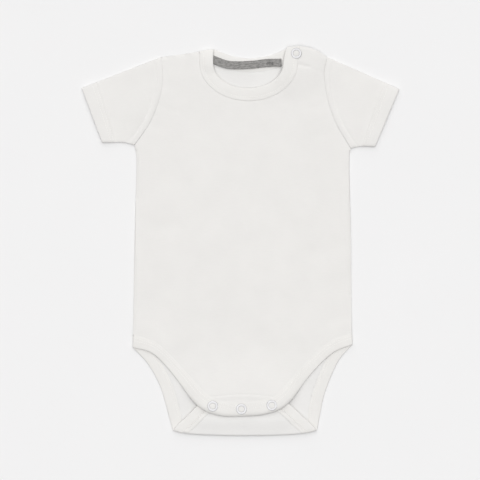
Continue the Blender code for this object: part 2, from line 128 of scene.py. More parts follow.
camera_data = bpy.data.cameras.new("camera")
camera_data.lens = CAMERA_LENS
camera_data.sensor_width = CAMERA_SENSOR
camera_data.clip_end = 50.0
camera = add_object("camera", camera_data)
distance = CAMERA_VIEW_WIDTH * CAMERA_LENS / CAMERA_SENSOR
camera.location = CAMERA_CENTRE + Vector((0.0, 0.0, distance))
bpy.context.scene.camera = camera

for lamp in LAMPS:
    lamp_data = bpy.data.lights.new(lamp.name, "SUN")
    lamp_data.angle = math.radians(lamp.spread)
    lamp_data.energy = lamp.strength
    lamp_object = add_object(lamp.name, lamp_data)
    lamp_object.location = lamp.direction
    lamp_object.rotation_euler = Vector(lamp.direction).to_track_quat("Z", "Y").to_euler()

room = bpy.data.worlds.new("room")
room.use_nodes = True
background = room.node_tree.nodes["Background"]
fill_inputs(room.node_tree, background, {"Color": (*ROOM_LIGHT, 1.0), "Strength": ROOM_STRENGTH})
bpy.context.scene.world = room
bpy.context.scene.view_settings.view_transform = "Standard"

floor_mesh = bpy.data.meshes.new("floor")
half = FLOOR_SIZE / 2
corners = [(-half, -half, 0), (half, -half, 0), (half, half, 0), (-half, half, 0)]
floor_mesh.from_pydata(corners, [], [(0, 1, 2, 3)])
floor = add_object("floor", floor_mesh)
floor_material, tree, shader = new_material("pale_floor")
clouds = noise_texture(tree, object_place(tree), 9.0)
tone = uneven_colour(tree, clouds, FLOOR_COLOUR, (0.3, 1.0), (0.7, 1.006))
fill_inputs(tree, shader, {"Base Color": tone, "Roughness": 0.8, "Specular IOR Level": 0.2})
floor_mesh.materials.append(floor_material)


# The front is one panel of fine white cotton jersey. It lies on the back, rises softly over the
# neck tape, the shoulder snap and the crotch tab, and is sewn to the back along both sides.
CLOTH = 1.0  # wall of one layer of jersey
BAND = 1.6  # wall of a rib binding, a strip folded over the raw edge
SEAM = 0.3  # gap between pieces that are sewn or lie together
REST = CLOTH + SEAM  # underside of a layer that lies on the back
THREAD_STEP = 2.0  # spacing of the points along an edge
GRID = 2.6  # mesh size of a panel
FRONT_ROWS = range(-63, 76)  # numbers of the grid's rows that cross the front
FINE_GRID = 0.6  # and of its rows where fine creases lie
FINE_ROWS = [(-160.3, -151.5), (169.3, 178.0)]
# Edges of a panel: how far in each kind is rounded, and the wall's share where its sides meet.
FRONT_EDGES = {"side": (0.5, -0.2), "armhole": (0.5, 0.95), "bound": (0.35, 0.94), "open": (0.4, 0.5)}
BACK_EDGES = {"side": (0.5, 1.0), "armhole": (0.6, 0.16), "bound": (0.35, 0.6), "open": (0.4, 0.5)}
EDGE_RINGS = (0.15, 0.3, 0.45, 0.7)  # widths of the mesh rings along a panel's edge
EDGE_SAMPLE = 0.15  # spacing of the samples that a mesh point's distance to the edge is taken from
NEAR_CUT = 0.06  # a grid line snaps to mesh points this near

NECK_Y = 178.0
NECK_SEAM = (8.1, 49.0, 37.7)  # centre x, half width, depth
NECK_SIDES = 60
FLAP_LIFT = 5.0  # the front's rise over the tab and the snaps
FLAP_TOP = (-159.5, -104.0)
FLAP_SIDE = (38.0, 66.0)
FLAP_MIDDLE = 2.3

# Edges of the garment, a row for each place, with the left and the right side's point.
Edge = namedtuple("Edge", "place left_x left_y right_x right_y")

ARMHOLE = [
    Edge("underarm", -106.3, 95.7, 110.4, 92.4),
    Edge("low", -90.9, 118.1, 95.9, 117.3),
    Edge("middle", -81.0, 143.0, 87.2, 142.1),
    Edge("high", -77.7, 166.0, 83.5, 168.0),
    Edge("shoulder", -79.8, 183.9, 86.6, 184.0),
]
SIDE = [
    Edge("underarm", -106.3, 95.7, 110.4, 92.4),
    Edge("chest", -104.0, 78.0, 108.9, 78.0),
    Edge("waist", -105.8, 8.0, 110.5, 8.0),
    Edge("hip", -107.4, -91.0, 111.3, -89.0),
]
# Leg bindings, a row for each place, with the outer edge's and the seam's point on both sides.
Binding = namedtuple("Binding", "place left left_seam right right_seam")

LEG_FRONT = [
    Binding("side", (-107.9, -106.6), (-107.4, -94.5), (112.2, -103.4), (111.3, -92.5)),
    Binding("hip", (-87.3, -113.0), (-83.0, -103.5), (91.4, -112.6), (87.0, -103.0)),
    Binding("thigh", (-67.5, -133.8), (-58.6, -127.4), (69.8, -134.0), (61.0, -127.6)),
    Binding("groin", (-43.4, -164.3), (-33.4, -154.3), (47.1, -162.9), (37.2, -153.0)),
    Binding("flap", (-21.0, -174.4), (-15.8, -161.0), (26.0, -172.8), (20.6, -159.8)),
    Binding("middle", (2.3, -175.2), (2.3, -161.9), (2.3, -175.2), (2.3, -161.9)),
]
LEFT_SHOULDER = [(-79.8, 183.9), (-60.5, 186.5), (-41.3, 189.6)]
RIGHT_SHOULDER_FRONT = [(58.9, 195.0), (68.1, 193.4), (77.3, 190.1), (86.6, 184.0)]

# Soft rises of the front's underside above its rest height; level is the flat share of a rise.
Lift = namedtuple("Lift", "place x y reach_x reach_y level height")

FRONT_LIFTS = [
    Lift("body", 2.0, -20.0, 112.0, 170.0, 0.0, 1.3),
    Lift("neck", 8.0, 186.0, 66.0, 52.0, 0.5, 0.9),
    Lift("tape end", -29.0, 180.0, 14.0, 14.0, 0.3, 1.35),
    Lift("shoulder snap", 55.8, 190.0, 38.0, 54.0, 0.36, 3.2),
    Lift("left hip", -100.0, -105.0, 30.0, 28.0, 0.6, 0.7),
    Lift("right hip", 105.0, -103.0, 30.0, 28.0, 0.6, 0.7),
]
# Creases, each along a short path, with its width and its height, below 0 for a trough.
Crease = namedtuple("Crease", "place path width height")

FRONT_CREASES = [
    Crease("tab end", [(-30, -155.6), (-14, -153.8), (1, -153.2), (16, -153.6), (32, -155.4)], 1.3, -0.2),
    Crease("tab edge", [(-28, -157.4), (-14, -155.9), (1, -155.4), (16, -155.8), (30, -157.2)], 2.0, 0.12),
    Crease("tab turning", [(-26, -160.2), (1, -158.6), (29, -160.0)], 1.4, -0.1),
    Crease("left armhole low", [(-93.0, 118.0), (-82.0, 113.0), (-70.0, 112.0)], 7.0, -0.22),
    Crease("left armhole middle", [(-83.0, 137.0), (-74.0, 131.0), (-62.0, 130.0)], 5.0, -0.25),
    Crease("left armhole high", [(-78.0, 156.0), (-66.0, 153.0)], 6.0, -0.18),
    Crease("right armhole low", [(98.0, 112.0), (86.0, 106.0), (76.0, 106.0)], 7.0, -0.2),
    Crease("right armhole middle", [(87.0, 140.0), (78.0, 133.0), (67.0, 133.0)], 6.0, -0.2),
    Crease("lap end", [(66.0, 174.2), (83.0, 168.4)], 2.2, -0.16),
    Crease("lap pucker", [(58.6, 176.2), (64.5, 174.8), (67.5, 174.6)], 3.0, -0.6),
    Crease("left waist", [(-103.0, 20.0), (-84.0, 14.0), (-66.0, 16.0)], 12.0, -0.3),
    Crease("right waist", [(106.0, -6.0), (88.0, -14.0), (70.0, -12.0)], 12.0, -0.3),
    Crease("left leg", [(-64.0, -116.0), (-46.0, -98.0), (-38.0, -80.0)], 13.0, -0.3),
    Crease("right leg", [(66.0, -118.0), (50.0, -100.0), (44.0, -84.0)], 12.0, -0.28),
    Crease("chest", [(-36.0, 96.0), (-8.0, 86.0), (24.0, 90.0)], 15.0, 0.22),
    Crease("belly", [(-50.0, -30.0), (-20.0, -44.0), (14.0, -42.0)], 17.0, 0.24),
]
RIPPLE_SIZE = 30.0
RIPPLE_HEIGHT = 0.42
RIPPLE_FADE = (80.0, 104.0)  # the ripples die out between these distances from the middle

WHITE_COTTON = (0.783, 0.771, 0.753)
SHARP = math.radians(40.0)
WALE = 0.8  # width of a column of knitted loops
COURSE = 0.62  # height of a row of them


def soft_step(value):
    """0 below 0, 1 above 1, and a soft S between."""
    value = min(1.0, max(0.0, value))
    return value * value * (3.0 - 2.0 * value)


def rise(lifts, x, y):
    """What the soft rises add to a place's height."""
    total = 0.0
    for lift in lifts:
        away = math.hypot((x - lift.x) / lift.reach_x, (y - lift.y) / lift.reach_y)
        if away < 1.0:
            total += lift.height * soft_step((1.0 - away) / (1.0 - lift.level))
    return total


def flap_rise(x, y):
    """The front's rise over the crotch tab."""
    up = soft_step((FLAP_TOP[1] - y) / (FLAP_TOP[1] - FLAP_TOP[0]))
    across = soft_step((FLAP_SIDE[1] - abs(x - FLAP_MIDDLE)) / (FLAP_SIDE[1] - FLAP_SIDE[0]))
    return FLAP_LIFT * up * across


def crease_heights(creases, x, y):
    """What the creases near a place add to its height."""
    total = 0.0
    for crease in creases:
        nearest = crease.width
        for (x0, y0), (x1, y1) in zip(crease.path, crease.path[1:]):
            near_x = min(x0, x1) - nearest < x < max(x0, x1) + nearest
            if near_x and min(y0, y1) - nearest < y < max(y0, y1) + nearest:
                along_x, along_y = x1 - x0, y1 - y0
                share = ((x - x0) * along_x + (y - y0) * along_y) / (along_x**2 + along_y**2)
                share = min(1.0, max(0.0, share))
                nearest = min(nearest, math.hypot(x - x0 - share * along_x, y - y0 - share * along_y))
        total += crease.height * soft_step(1.0 - nearest / crease.width)
    return total


def ripple(x, y):
    """The slight unevenness of cloth that was smoothed out by hand."""
    fade = soft_step((RIPPLE_FADE[1] - abs(x - FLAP_MIDDLE)) / (RIPPLE_FADE[1] - RIPPLE_FADE[0]))
    broad = noise.noise(Vector((x / RIPPLE_SIZE, y / (1.3 * RIPPLE_SIZE), 2.7)))
    fine = noise.noise(Vector((2.6 * x / RIPPLE_SIZE, 2.1 * y / RIPPLE_SIZE, 8.3)))
    return fade * RIPPLE_HEIGHT * max(0.0, 0.5 + broad + 0.3 * fine)


def on_front(point):
    """The front's underside at a plan point, and the way its cloth grows from there."""
    x, y = point
    height = REST + rise(FRONT_LIFTS, x, y) + flap_rise(x, y)
    height += ripple(x, y) + crease_heights(FRONT_CREASES, x, y)
    return Vector((x, y, height)), Vector((0.0, 0.0, 1.0))


def curve_through(points, step=THREAD_STEP):
    """Points about a step apart on a soft curve through the given ones."""
    knots = [Vector(point) for point in points]
    knots = [2 * knots[0] - knots[1]] + knots + [2 * knots[-1] - knots[-2]]
    line = []
    for a, b, c, d in zip(knots, knots[1:], knots[2:], knots[3:]):
        count = max(1, round((c - b).length / step))
        for index in range(count):
            t = index / count
            bend = (2 * a - 5 * b + 4 * c - d) * t**2 + (3 * b - a - 3 * c + d) * t**3
            line.append(b + 0.5 * ((c - a) * t + bend))
    line.append(knots[-2])
    return line


def moved_aside(line, distance):
    """A plan line moved to its left."""
    moved = []
    for index, point in enumerate(line):
        along = line[min(index + 1, len(line) - 1)] - line[max(index - 1, 0)]
        along.normalize()
        moved.append(point + distance * Vector((-along.y, along.x)))
    return moved


def vectors(points):
    return [Vector(point) for point in points]


def side_points(table, left):
    return [Vector((row.left_x, row.left_y) if left else (row.right_x, row.right_y)) for row in table]


def binding_lines(left_rows, right_rows, step):
    """Matching points on a binding's edge and seam, down the left rows and back up the right ones."""
    both = curve_through([(*edge, *seam) for edge, seam in left_rows + right_rows[-2::-1]], step)
    return [point.xy for point in both], [Vector(point[2:]) for point in both]


def side_rows(table, left):
    return [(row.left, row.left_seam) if left else (row.right, row.right_seam) for row in table]


def half_ellipse(shape, count):
    """The lower half of the neck's ellipse, from its left end to its right one."""
    centre, half_width, depth = shape
    line = []
    for index in range(count + 1):
        turn = math.pi * (1.0 + index / count)
        line.append(Vector((centre + half_width * math.cos(turn), NECK_Y + depth * math.sin(turn))))
    return line


def side_outline():
    """The body's edges on each side: the side seam and the armhole, both upwards on the left."""
    left_side = curve_through(side_points(SIDE, True))[::-1]
    left_armhole = curve_through(side_points(ARMHOLE, True))[1:]
    right_armhole = curve_through(side_points(ARMHOLE, False))[::-1]
    right_side = curve_through(side_points(SIDE, False))[1:]
    return left_side, left_armhole, right_armhole, right_side


def add_bump(tree, shader, height, strength, depth):
    """Relief on a material from a height, with its depth in millimetres."""
    bump = add_node(tree, "ShaderNodeBump", {"Height": height, "Strength": strength, "Distance": depth * MM})
    fill_inputs(tree, shader, {"Normal": bump.outputs["Normal"]})


def cut_place(tree):
    """The place on the cut cloth, from its map."""
    return add_node(tree, "ShaderNodeUVMap", {}, uv_map="cut").outputs["UV"]


def jersey(name, colour, wale=WALE, course=COURSE, relief=0.35):
    """Knitted cotton: columns of loops along the cut's second axis, uneven yarn, and short fuzz."""
    material, tree, shader = new_material(name)

    def maths(operation, *values):
        return add_node(tree, "ShaderNodeMath", dict(enumerate(values)), operation=operation).outputs[0]

    def mixed(first, *others):
        total = maths("MULTIPLY", *first)
        for output, weight in others:
            total = maths("ADD", total, maths("MULTIPLY", output, weight))
        return total

    cut = cut_place(tree)
    axes = add_node(tree, "ShaderNodeSeparateXYZ", {0: cut}).outputs
    column = maths("ABSOLUTE", maths("SINE", maths("MULTIPLY", axes["X"], math.pi / (wale * MM))))
    lean = maths("MULTIPLY", column, 2.4)
    row = maths("ADD", maths("MULTIPLY", axes["Y"], 2 * math.pi / (course * MM)), lean)
    knit = maths("MULTIPLY", column, maths("MULTIPLY_ADD", maths("SINE", row), 0.22, 0.78))

    place = object_place(tree)
    cloud = noise_texture(tree, place, 34.0)
    fuzz = noise_texture(tree, place, 1500.0, 3.0, 0.65)
    along_yarn = add_node(tree, "ShaderNodeMapping", {"Vector": cut, "Scale": (150.0, 900.0, 150.0)})
    yarn = noise_texture(tree, along_yarn.outputs["Vector"], 1.0)
    add_bump(tree, shader, mixed((knit, 0.7), (fuzz, 0.5), (yarn, 0.35)), relief, 0.25)
    unevenness = mixed((cloud, 0.5), (yarn, 0.25), (fuzz, 0.25))
    look = {"Base Color": uneven_colour(tree, unevenness, colour, (0.3, 0.972), (0.7, 1.022))}
    look |= {"Roughness": 0.92, "Specular IOR Level": 0.25, "Sheen Weight": 0.12, "Sheen Roughness": 0.45}
    fill_inputs(tree, shader, look)
    return material


def add_piece(name, points, faces, cut, material):
    """A closed piece of cloth from its points in millimetres, with its cut as a UV map."""
    mesh = bpy.data.meshes.new(name)
    mesh.from_pydata([point * MM for point in points], [], faces)
    shape = bmesh.new()
    shape.from_mesh(mesh)
    bmesh.ops.recalc_face_normals(shape, faces=shape.faces)
    shape.to_mesh(mesh)
    shape.free()
    mesh.shade_smooth()
    mesh.set_sharp_from_angle(angle=SHARP)
    cut_map = mesh.uv_layers.new(name="cut")
    for loop in mesh.loops:
        cut_map.uv[loop.index].vector = cut[loop.vertex_index] * MM
    mesh.materials.append(material)
    piece = add_object(name, mesh)
    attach(piece, "root")
    return piece


def cut_panel(name, stretches, surface, edges, rows, material):
    """A cut panel: its flat outline gets rings along the edge and a grid, and is laid on a surface.

    stretches are the outline's parts, each with the kind of its edge. edges gives each kind's
    rounding, and rows the heights of the grid's rows.
    """
    outline = [point for _, line in stretches for point in line]
    shape = bmesh.new()
    middle = shape.faces.new([shape.verts.new((point.x, point.y, 0.0)) for point in outline])
    for width in EDGE_RINGS:
        bmesh.ops.inset_region(shape, faces=[middle], thickness=width, use_even_offset=True)
    low = [min(point[axis] for point in outline) for axis in (0, 1)]
    high = [max(point[axis] for point in outline) for axis in (0, 1)]
    cuts = [(0, low[0] + GRID * index) for index in range(1, math.ceil((high[0] - low[0]) / GRID))]
    cuts += [(1, place) for place in rows]
    for axis, place in cuts:
        spot, normal = [0.0, 0.0, 0.0], [0.0, 0.0, 0.0]
        spot[axis], normal[axis] = place, 1.0
        everything = shape.verts[:] + shape.edges[:] + shape.faces[:]
        bmesh.ops.bisect_plane(shape, geom=everything, plane_co=spot, plane_no=normal, dist=NEAR_CUT)
    bmesh.ops.triangulate(shape, faces=[face for face in shape.faces if len(face.verts) > 4])

    samples = []
    closed = stretches + [stretches[0]]
    for index, (kind, line) in enumerate(stretches):
        following = closed[index + 1][1][0]
        for start, end in zip(line, line[1:] + [following]):
            count = max(1, math.ceil((end - start).length / EDGE_SAMPLE))
            samples += [(start.lerp(end, step / count), kind) for step in range(count)]
    tree = KDTree(len(samples))
    for index, (point, _) in enumerate(samples):
        tree.insert(point.to_3d(), index)
    tree.balance()

    points, cut, outer, inner = [], [], {}, {}
    for vertex in shape.verts:
        pattern = vertex.co.xy
        point, way = surface(pattern)
        _, nearest, away = tree.find(vertex.co)
        roll, meeting = edges[samples[nearest][1]]
        if vertex.is_boundary:
            away = 0.0
        share = min(1.0, away / roll)
        full = math.sqrt(1.0 - (1.0 - share) ** 2)
        meeting *= CLOTH
        outer[vertex] = len(points)
        points.append(point + way * meeting * (1.0 - full))
        cut.append(pattern)
        if away == 0.0:
            inner[vertex] = outer[vertex]
        else:
            inner[vertex] = len(points)
            points.append(point + way * (meeting + (CLOTH - meeting) * full))
            cut.append(pattern)
    faces = [[outer[vertex] for vertex in face.verts] for face in shape.faces]
    faces += [[inner[vertex] for vertex in reversed(face.verts)] for face in shape.faces]
    shape.free()
    return add_piece(name, points, faces, cut, material)


left_side, left_armhole, right_armhole, right_side = side_outline()
leg_edge, leg_seam = binding_lines(side_rows(LEG_FRONT, True), side_rows(LEG_FRONT, False), THREAD_STEP)
front_stretches = [
    ("side", left_side),
    ("armhole", left_armhole),
    ("side", curve_through(LEFT_SHOULDER)[1:-1]),
    ("bound", [Vector(LEFT_SHOULDER[-1])] + half_ellipse(NECK_SEAM, NECK_SIDES)),
    ("open", curve_through(RIGHT_SHOULDER_FRONT)[:-1]),
    ("armhole", right_armhole),
    ("side", right_side),
    ("bound", leg_seam[::-1]),
]
white_jersey = jersey("white_jersey", WHITE_COTTON)
front_rows = [GRID * index for index in FRONT_ROWS]
for low, high in FINE_ROWS:
    front_rows += [low + FINE_GRID * index for index in range(round((high - low) / FINE_GRID))]
front = cut_panel("front_cloth", front_stretches, on_front, FRONT_EDGES, front_rows, white_jersey)
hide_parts("front_body")


# The front's leg binding is a strip of the same white cotton in a fine rib, folded over the raw
# edge from hip to hip through the crotch, and held by two rows of light stitches.
LEG_WIDTH = 13.4  # what the section below is drawn for
# The strip's section: distance from its outer edge and height above its underside, round it.
LEG_SECTION = [
    (0.0, 0.8), (0.12, 1.2), (0.45, 1.5), (1.1, 1.66), (2.4, 1.74), (4.2, 1.76), (6.0, 1.75),
    (7.2, 1.71), (7.8, 1.64), (8.1, 1.6), (8.4, 1.61), (9.1, 1.6), (9.8, 1.56), (10.5, 1.48),
    (10.9, 1.42), (11.2, 1.39), (11.5, 1.38), (12.2, 1.32), (13.0, 1.23), (13.8, 1.1),
    (14.6, 0.99), (14.4, 0.96), (13.3, 0.9), (13.1, 0.5), (13.0, 0.1), (12.6, 0.0),
    (8.0, 0.0), (3.0, 0.0), (1.1, 0.0), (0.45, 0.1), (0.12, 0.4),
]  # fmt: skip
LEG_ROWS = [(8.1, 1.68), (11.2, 1.47)]  # where the two rows of stitches lie on it
DROOP = 1.5  # how far the strip's outer edge bends down over the tab
DROOP_WIDTH = 3.4
END_ROLL = ((0.0, 0.15), (0.12, 0.55), (0.4, 0.86))  # how a strip's wall grows from its cut end
RIB_COTTON = (0.786, 0.774, 0.753)
COLLAR_COTTON = (0.800, 0.788, 0.767)
STITCH_THREAD = (0.87, 0.858, 0.835)
STITCH_PITCH = 2.35
STITCH_LENGTH = 2.1
STITCH_RADIUS = 0.27


def ring_faces(first, second, count, closed=True):
    """The faces between two rings of points, each given by its number."""
    faces = []
    for index in range(count if closed else count - 1):
        after = (index + 1) % count
        near, far = first * count, second * count
        faces.append((near + index, near + after, far + after, far + index))
    return faces


def strip_places(edge, seam, surface):
    """A strip's places along it: each turns a share of its width into a point and a way."""

    def place_at(outer, inner):
        return lambda share: surface(outer.lerp(inner, share))

    return [place_at(outer, inner) for outer, inner in zip(edge, seam)]


def between(first, second, share):
    """A place at a share of the way from one place on a strip to the next."""

    def place(across):
        (start, start_way), (end, end_way) = first(across), second(across)
        return start.lerp(end, share), start_way.lerp(end_way, share)

    return place


def sew_strip(name, places, sections, width, ends, material):
    """A binding from its places and their sections, each a list of (distance across, height).

    ends are the heights at which its two cut ends close.
    """
    stations = []
    for near, beyond, section, close in (
        (places[0], places[1], sections[0], ends[0]),
        (places[-1], places[-2], sections[-1], ends[1]),
    ):
        span = (near(0.5)[0] - beyond(0.5)[0]).length
        rolled = []
        for distance, full in END_ROLL:
            thin = [(across, close + (height - close) * full) for across, height in section]
            rolled.append((between(near, beyond, distance / span), thin))
        stations.append(rolled)
    first, last = stations
    stations = first + list(zip(places, sections))[1:-1] + last[::-1]
    points, cut, faces, along = [], [], [], 0.0
    count = len(sections[0])
    before = None
    for place, section in stations:
        middle = place(0.5)[0]
        along += (middle - before).length if before else 0.0
        before = middle
        for across, height in section:
            point, way = place(across / width)
            points.append(point + way * height)
            cut.append(Vector((along, across)))
    for station in range(len(stations) - 1):
        faces += ring_faces(station, station + 1, count)
    faces.append(list(range(count)))
    faces.append(list(range(len(points) - count, len(points))))
    return add_piece(name, points, faces, cut, material), along


def stitch_tree():
    """Short rounded stitches at even steps along every line of a mesh."""
    tree = bpy.data.node_groups.new("stitch_row", "GeometryNodeTree")
    for name, kind, way in (
        ("Geometry", "Geometry", "INPUT"),
        ("Pitch", "Float", "INPUT"),
        ("Stitch Length", "Float", "INPUT"),
        ("Thread Radius", "Float", "INPUT"),
        ("Thread", "Material", "INPUT"),
        ("Seed", "Int", "INPUT"),
        ("Geometry", "Geometry", "OUTPUT"),
    ):
        tree.interface.new_socket(name, in_out=way, socket_type=f"NodeSocket{kind}")

    def add(kind, inputs, **settings):
        return add_node(tree, kind, inputs, **settings).outputs

    given = add("NodeGroupInput", {})
    line = add("GeometryNodeMeshToCurve", {"Mesh": given["Geometry"]})
    steps = {"Curve": line["Curve"], "Length": given["Pitch"]}
    spots = add("GeometryNodeCurveToPoints", steps, mode="LENGTH")
    turned = add("FunctionNodeAlignRotationToVector", {"Vector": spots["Tangent"]}, axis="X")
    bead = add("GeometryNodeMeshUVSphere", {"Segments": 6, "Rings": 5, "Radius": 1.0})
    half_length = add("ShaderNodeMath", {0: given["Stitch Length"], 1: 0.5}, operation="MULTIPLY")
    flat = add("ShaderNodeMath", {0: given["Thread Radius"], 1: 0.75}, operation="MULTIPLY")
    radii = {"X": half_length[0], "Y": given["Thread Radius"], "Z": flat[0]}
    size = add("ShaderNodeCombineXYZ", radii)
    stitch = add("GeometryNodeTransform", {"Geometry": bead["Mesh"], "Scale": size[0]})
    limits = {"Min": (0.9, 0.85, 0.85), "Max": (1.06, 1.1, 1.1), "Seed": given["Seed"]}
    wander = add("FunctionNodeRandomValue", limits, data_type="FLOAT_VECTOR")
    row = {"Points": spots["Points"], "Instance": stitch["Geometry"]}
    row |= {"Rotation": turned["Rotation"], "Scale": wander[0]}
    placed = add("GeometryNodeInstanceOnPoints", row)
    real = add("GeometryNodeRealizeInstances", {"Geometry": placed["Instances"]})
    smooth = add("GeometryNodeSetShadeSmooth", {"Geometry": real["Geometry"]})
    dyed = add("GeometryNodeSetMaterial", {"Geometry": smooth["Geometry"], "Material": given["Thread"]})
    add("NodeGroupOutput", {"Geometry": dyed["Geometry"]})
    return tree


def thread(name, colour):
    """Spun thread, with a faint twist and a slight sheen."""
    material, tree, shader = new_material(name)
    twist = noise_texture(tree, object_place(tree), 2600.0)
    add_bump(tree, shader, twist, 0.3, 0.1)
    dye = uneven_colour(tree, twist, colour, (0.3, 0.95), (0.7, 1.03))
    fill_inputs(tree, shader, {"Base Color": dye, "Roughness": 0.6, "Sheen Weight": 0.1})
    return material


stitches = stitch_tree()
white_thread = thread("white_thread", STITCH_THREAD)


def plain_mesh(made):
    """The mesh that an object's modifiers or bevel make."""
    bpy.context.view_layer.update()
    return bpy.data.meshes.new_from_object(made.evaluated_get(bpy.context.evaluated_depsgraph_get()))


def sew_rows(name, lines, seed):
    """Rows of stitches along lines of points in millimetres, as one piece."""
    points, edges = [], []
    for line in lines:
        edges += [(len(points) + index, len(points) + index + 1) for index in range(len(line) - 1)]
        points += [point * MM for point in line]
    mesh = bpy.data.meshes.new(name)
    mesh.from_pydata(points, edges, [])
    piece = add_object(name, mesh)
    modifier = piece.modifiers.new("Stitches", "NODES")
    modifier.node_group = stitches
    values = {
        "Pitch": STITCH_PITCH * MM,
        "Stitch Length": STITCH_LENGTH * MM,
        "Thread Radius": STITCH_RADIUS * MM,
        "Thread": white_thread,
        "Seed": seed,
    }
    for socket in stitches.interface.items_tree:
        if socket.in_out == "INPUT" and socket.name in values:
            modifier[socket.identifier] = values[socket.name]
    made = plain_mesh(piece)
    piece.modifiers.clear()
    piece.data = made
    made.name = name
    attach(piece, "root")
    return piece


def rows_on(places, width, rows):
    """Lines along a strip at each row's distance across it and height above it."""
    lines = []
    for across, height in rows:
        line = []
        for place in places:
            point, way = place(across / width)
            line.append(point + way * height)
        lines.append(line)
    return lines


def drooping(section, drop):
    """A section whose outer edge bends down by a drop."""
    return [(across, up - drop * max(0.0, 1.0 - across / DROOP_WIDTH) ** 2) for across, up in section]


fine_rib = jersey("fine_rib", RIB_COTTON, wale=0.7, course=0.6, relief=0.4)
collar_rib = jersey("collar_rib", COLLAR_COTTON, wale=0.7, course=0.6, relief=0.4)
leg_places = strip_places(leg_edge, leg_seam, on_front)
leg_sections = [drooping(LEG_SECTION, DROOP * flap_rise(*edge) / FLAP_LIFT) for edge in leg_edge]
leg_front, leg_length = sew_strip(
    "front_leg_binding_cloth", leg_places, leg_sections, LEG_WIDTH, (0.0, 0.0), fine_rib
)
leg_stitches = sew_rows("front_leg_stitches", rows_on(leg_places, LEG_WIDTH, LEG_ROWS), 3)
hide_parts("leg_binding_front")


# The back is the longer panel of the same jersey. It lies on the ground, shows its inner side in
# the neck, and turns up over a soft fold at the bottom into the crotch tab under the front.
FOLD_RADIUS = 2.0
FOLD_Y = -195.0
FOLD_CENTRE = 3.9
FOLD_HALF = 70.0  # half the fold's length
FOLD_BOW = 2.6  # how far its ends curve up
FOLD_CORNER = 2.1  # and how far its corners round off
FOLD_SIDES = 12
TAB_PUFF = 1.25  # how far the tab rises in front of the front binding's edge
TAB_PUFF_ENDS = (-171.8, -178.6)  # it starts at the first of these and is whole at the second
TAB_PUFF_SIDE = (38.0, 58.0)  # and dies out between these distances from the middle
TAB_PUFF_START = 12.4  # length of the rise from the fold
FOLD_LENGTH = math.pi * FOLD_RADIUS
TAB_TOP = 2 * FOLD_RADIUS
NECK_WIDTH = 12.7  # the neck binding's width on the back
BACK_NECK_X = 9.5
BACK_NECK_Y = 182.9
BACK_NECK_HALF = 35.2
BACK_NECK_RISE = 9.0
BACK_NECK_SIDES = 30
BASE_HEIGHT = 0.8  # of the ring under the shoulder's snap
BACK_ROWS = range(1, 150)  # numbers of the grid's rows that cross the back
TAB_ROWS = range(1, 16)  # and the tab
LEG_BACK = [
    Binding("side", (-107.9, -106.6), (-107.4, -94.5), (112.2, -103.4), (111.3, -92.5)),
    Binding("seat", (-92.3, -123.8), (-84.6, -116.5), (97.5, -121.1), (89.8, -113.4)),
    Binding("thigh", (-80.0, -146.8), (-69.8, -142.5), (84.6, -151.5), (74.2, -148.0)),
    Binding("crease", (-71.6, -176.0), (-60.9, -173.2), (79.2, -176.0), (68.6, -173.0)),
]
TAB = [
    Binding("root", (-65.4, -187.0), (-57.0, -191.5), (74.0, -186.6), (65.5, -191.8)),
    Binding("side", (-54.0, -175.7), (-45.5, -184.0), (61.0, -174.2), (52.5, -182.7)),
    Binding("neck", (-41.5, -163.2), (-33.8, -172.4), (46.8, -161.4), (39.2, -170.9)),
    Binding("corner", (-27.5, -155.5), (-24.0, -167.0), (32.1, -155.4), (28.6, -167.0)),
    Binding("middle", (2.3, -153.6), (2.3, -165.6), (2.3, -153.6), (2.3, -165.6)),
]
RIGHT_SHOULDER_BACK = [(59.2, 193.0), (68.1, 191.5), (77.3, 188.3), (86.6, 183.4)]
LEFT_FAN = [(-41.3, 189.6), (-38.2, 184.6)]  # where the back neck's seam swings to the shoulders
RIGHT_FAN = [(57.0, 184.6), (59.2, 193.0)]
BACK_LIFTS = [Lift("shoulder snap", 55.8, 187.5, 22.0, 22.0, 0.5, BASE_HEIGHT + SEAM)]
INSIDE_COTTON = (0.776, 0.768, 0.756)


def fold_line(x):
    """Y of the bottom edge of the fold."""
    share = min(1.0, abs(x - FOLD_CENTRE) / FOLD_HALF)
    return FOLD_Y + FOLD_BOW * share**2 + FOLD_CORNER * share**10


def tab_puff(x, y):
    """The tab's soft rise in front of the front binding."""
    up = soft_step((y - fold_line(x) - FOLD_RADIUS) / TAB_PUFF_START)
    down = soft_step((TAB_PUFF_ENDS[0] - y) / (TAB_PUFF_ENDS[0] - TAB_PUFF_ENDS[1]))
    side = soft_step((TAB_PUFF_SIDE[1] - abs(x - FLAP_MIDDLE)) / (TAB_PUFF_SIDE[1] - TAB_PUFF_SIDE[0]))
    return TAB_PUFF * up * down * side


def on_back(point):
    """The back's outer side at a pattern point (x, height above the fold), and the way inwards."""
    x, above = point
    root = fold_line(x) + FOLD_RADIUS
    if above >= 0.0:
        y = root + above
        return Vector((x, y, rise(BACK_LIFTS, x, y))), Vector((0.0, 0.0, 1.0))
    if above > -FOLD_LENGTH:
        turn = -above / FOLD_RADIUS
        out = Vector((0.0, -math.sin(turn), -math.cos(turn)))
        return Vector((x, root, FOLD_RADIUS)) + FOLD_RADIUS * out, -out
    y = root - above - FOLD_LENGTH
    return Vector((x, y, TAB_TOP + tab_puff(x, y))), Vector((0.0, 0.0, -1.0))


def to_pattern(point, turned_up=False):
    """The back's pattern point for a plan point, on the panel or on the turned-up tab."""
    x, y = point
    above = y - fold_line(x) - FOLD_RADIUS
    return Vector((x, -above - FOLD_LENGTH if turned_up else above))


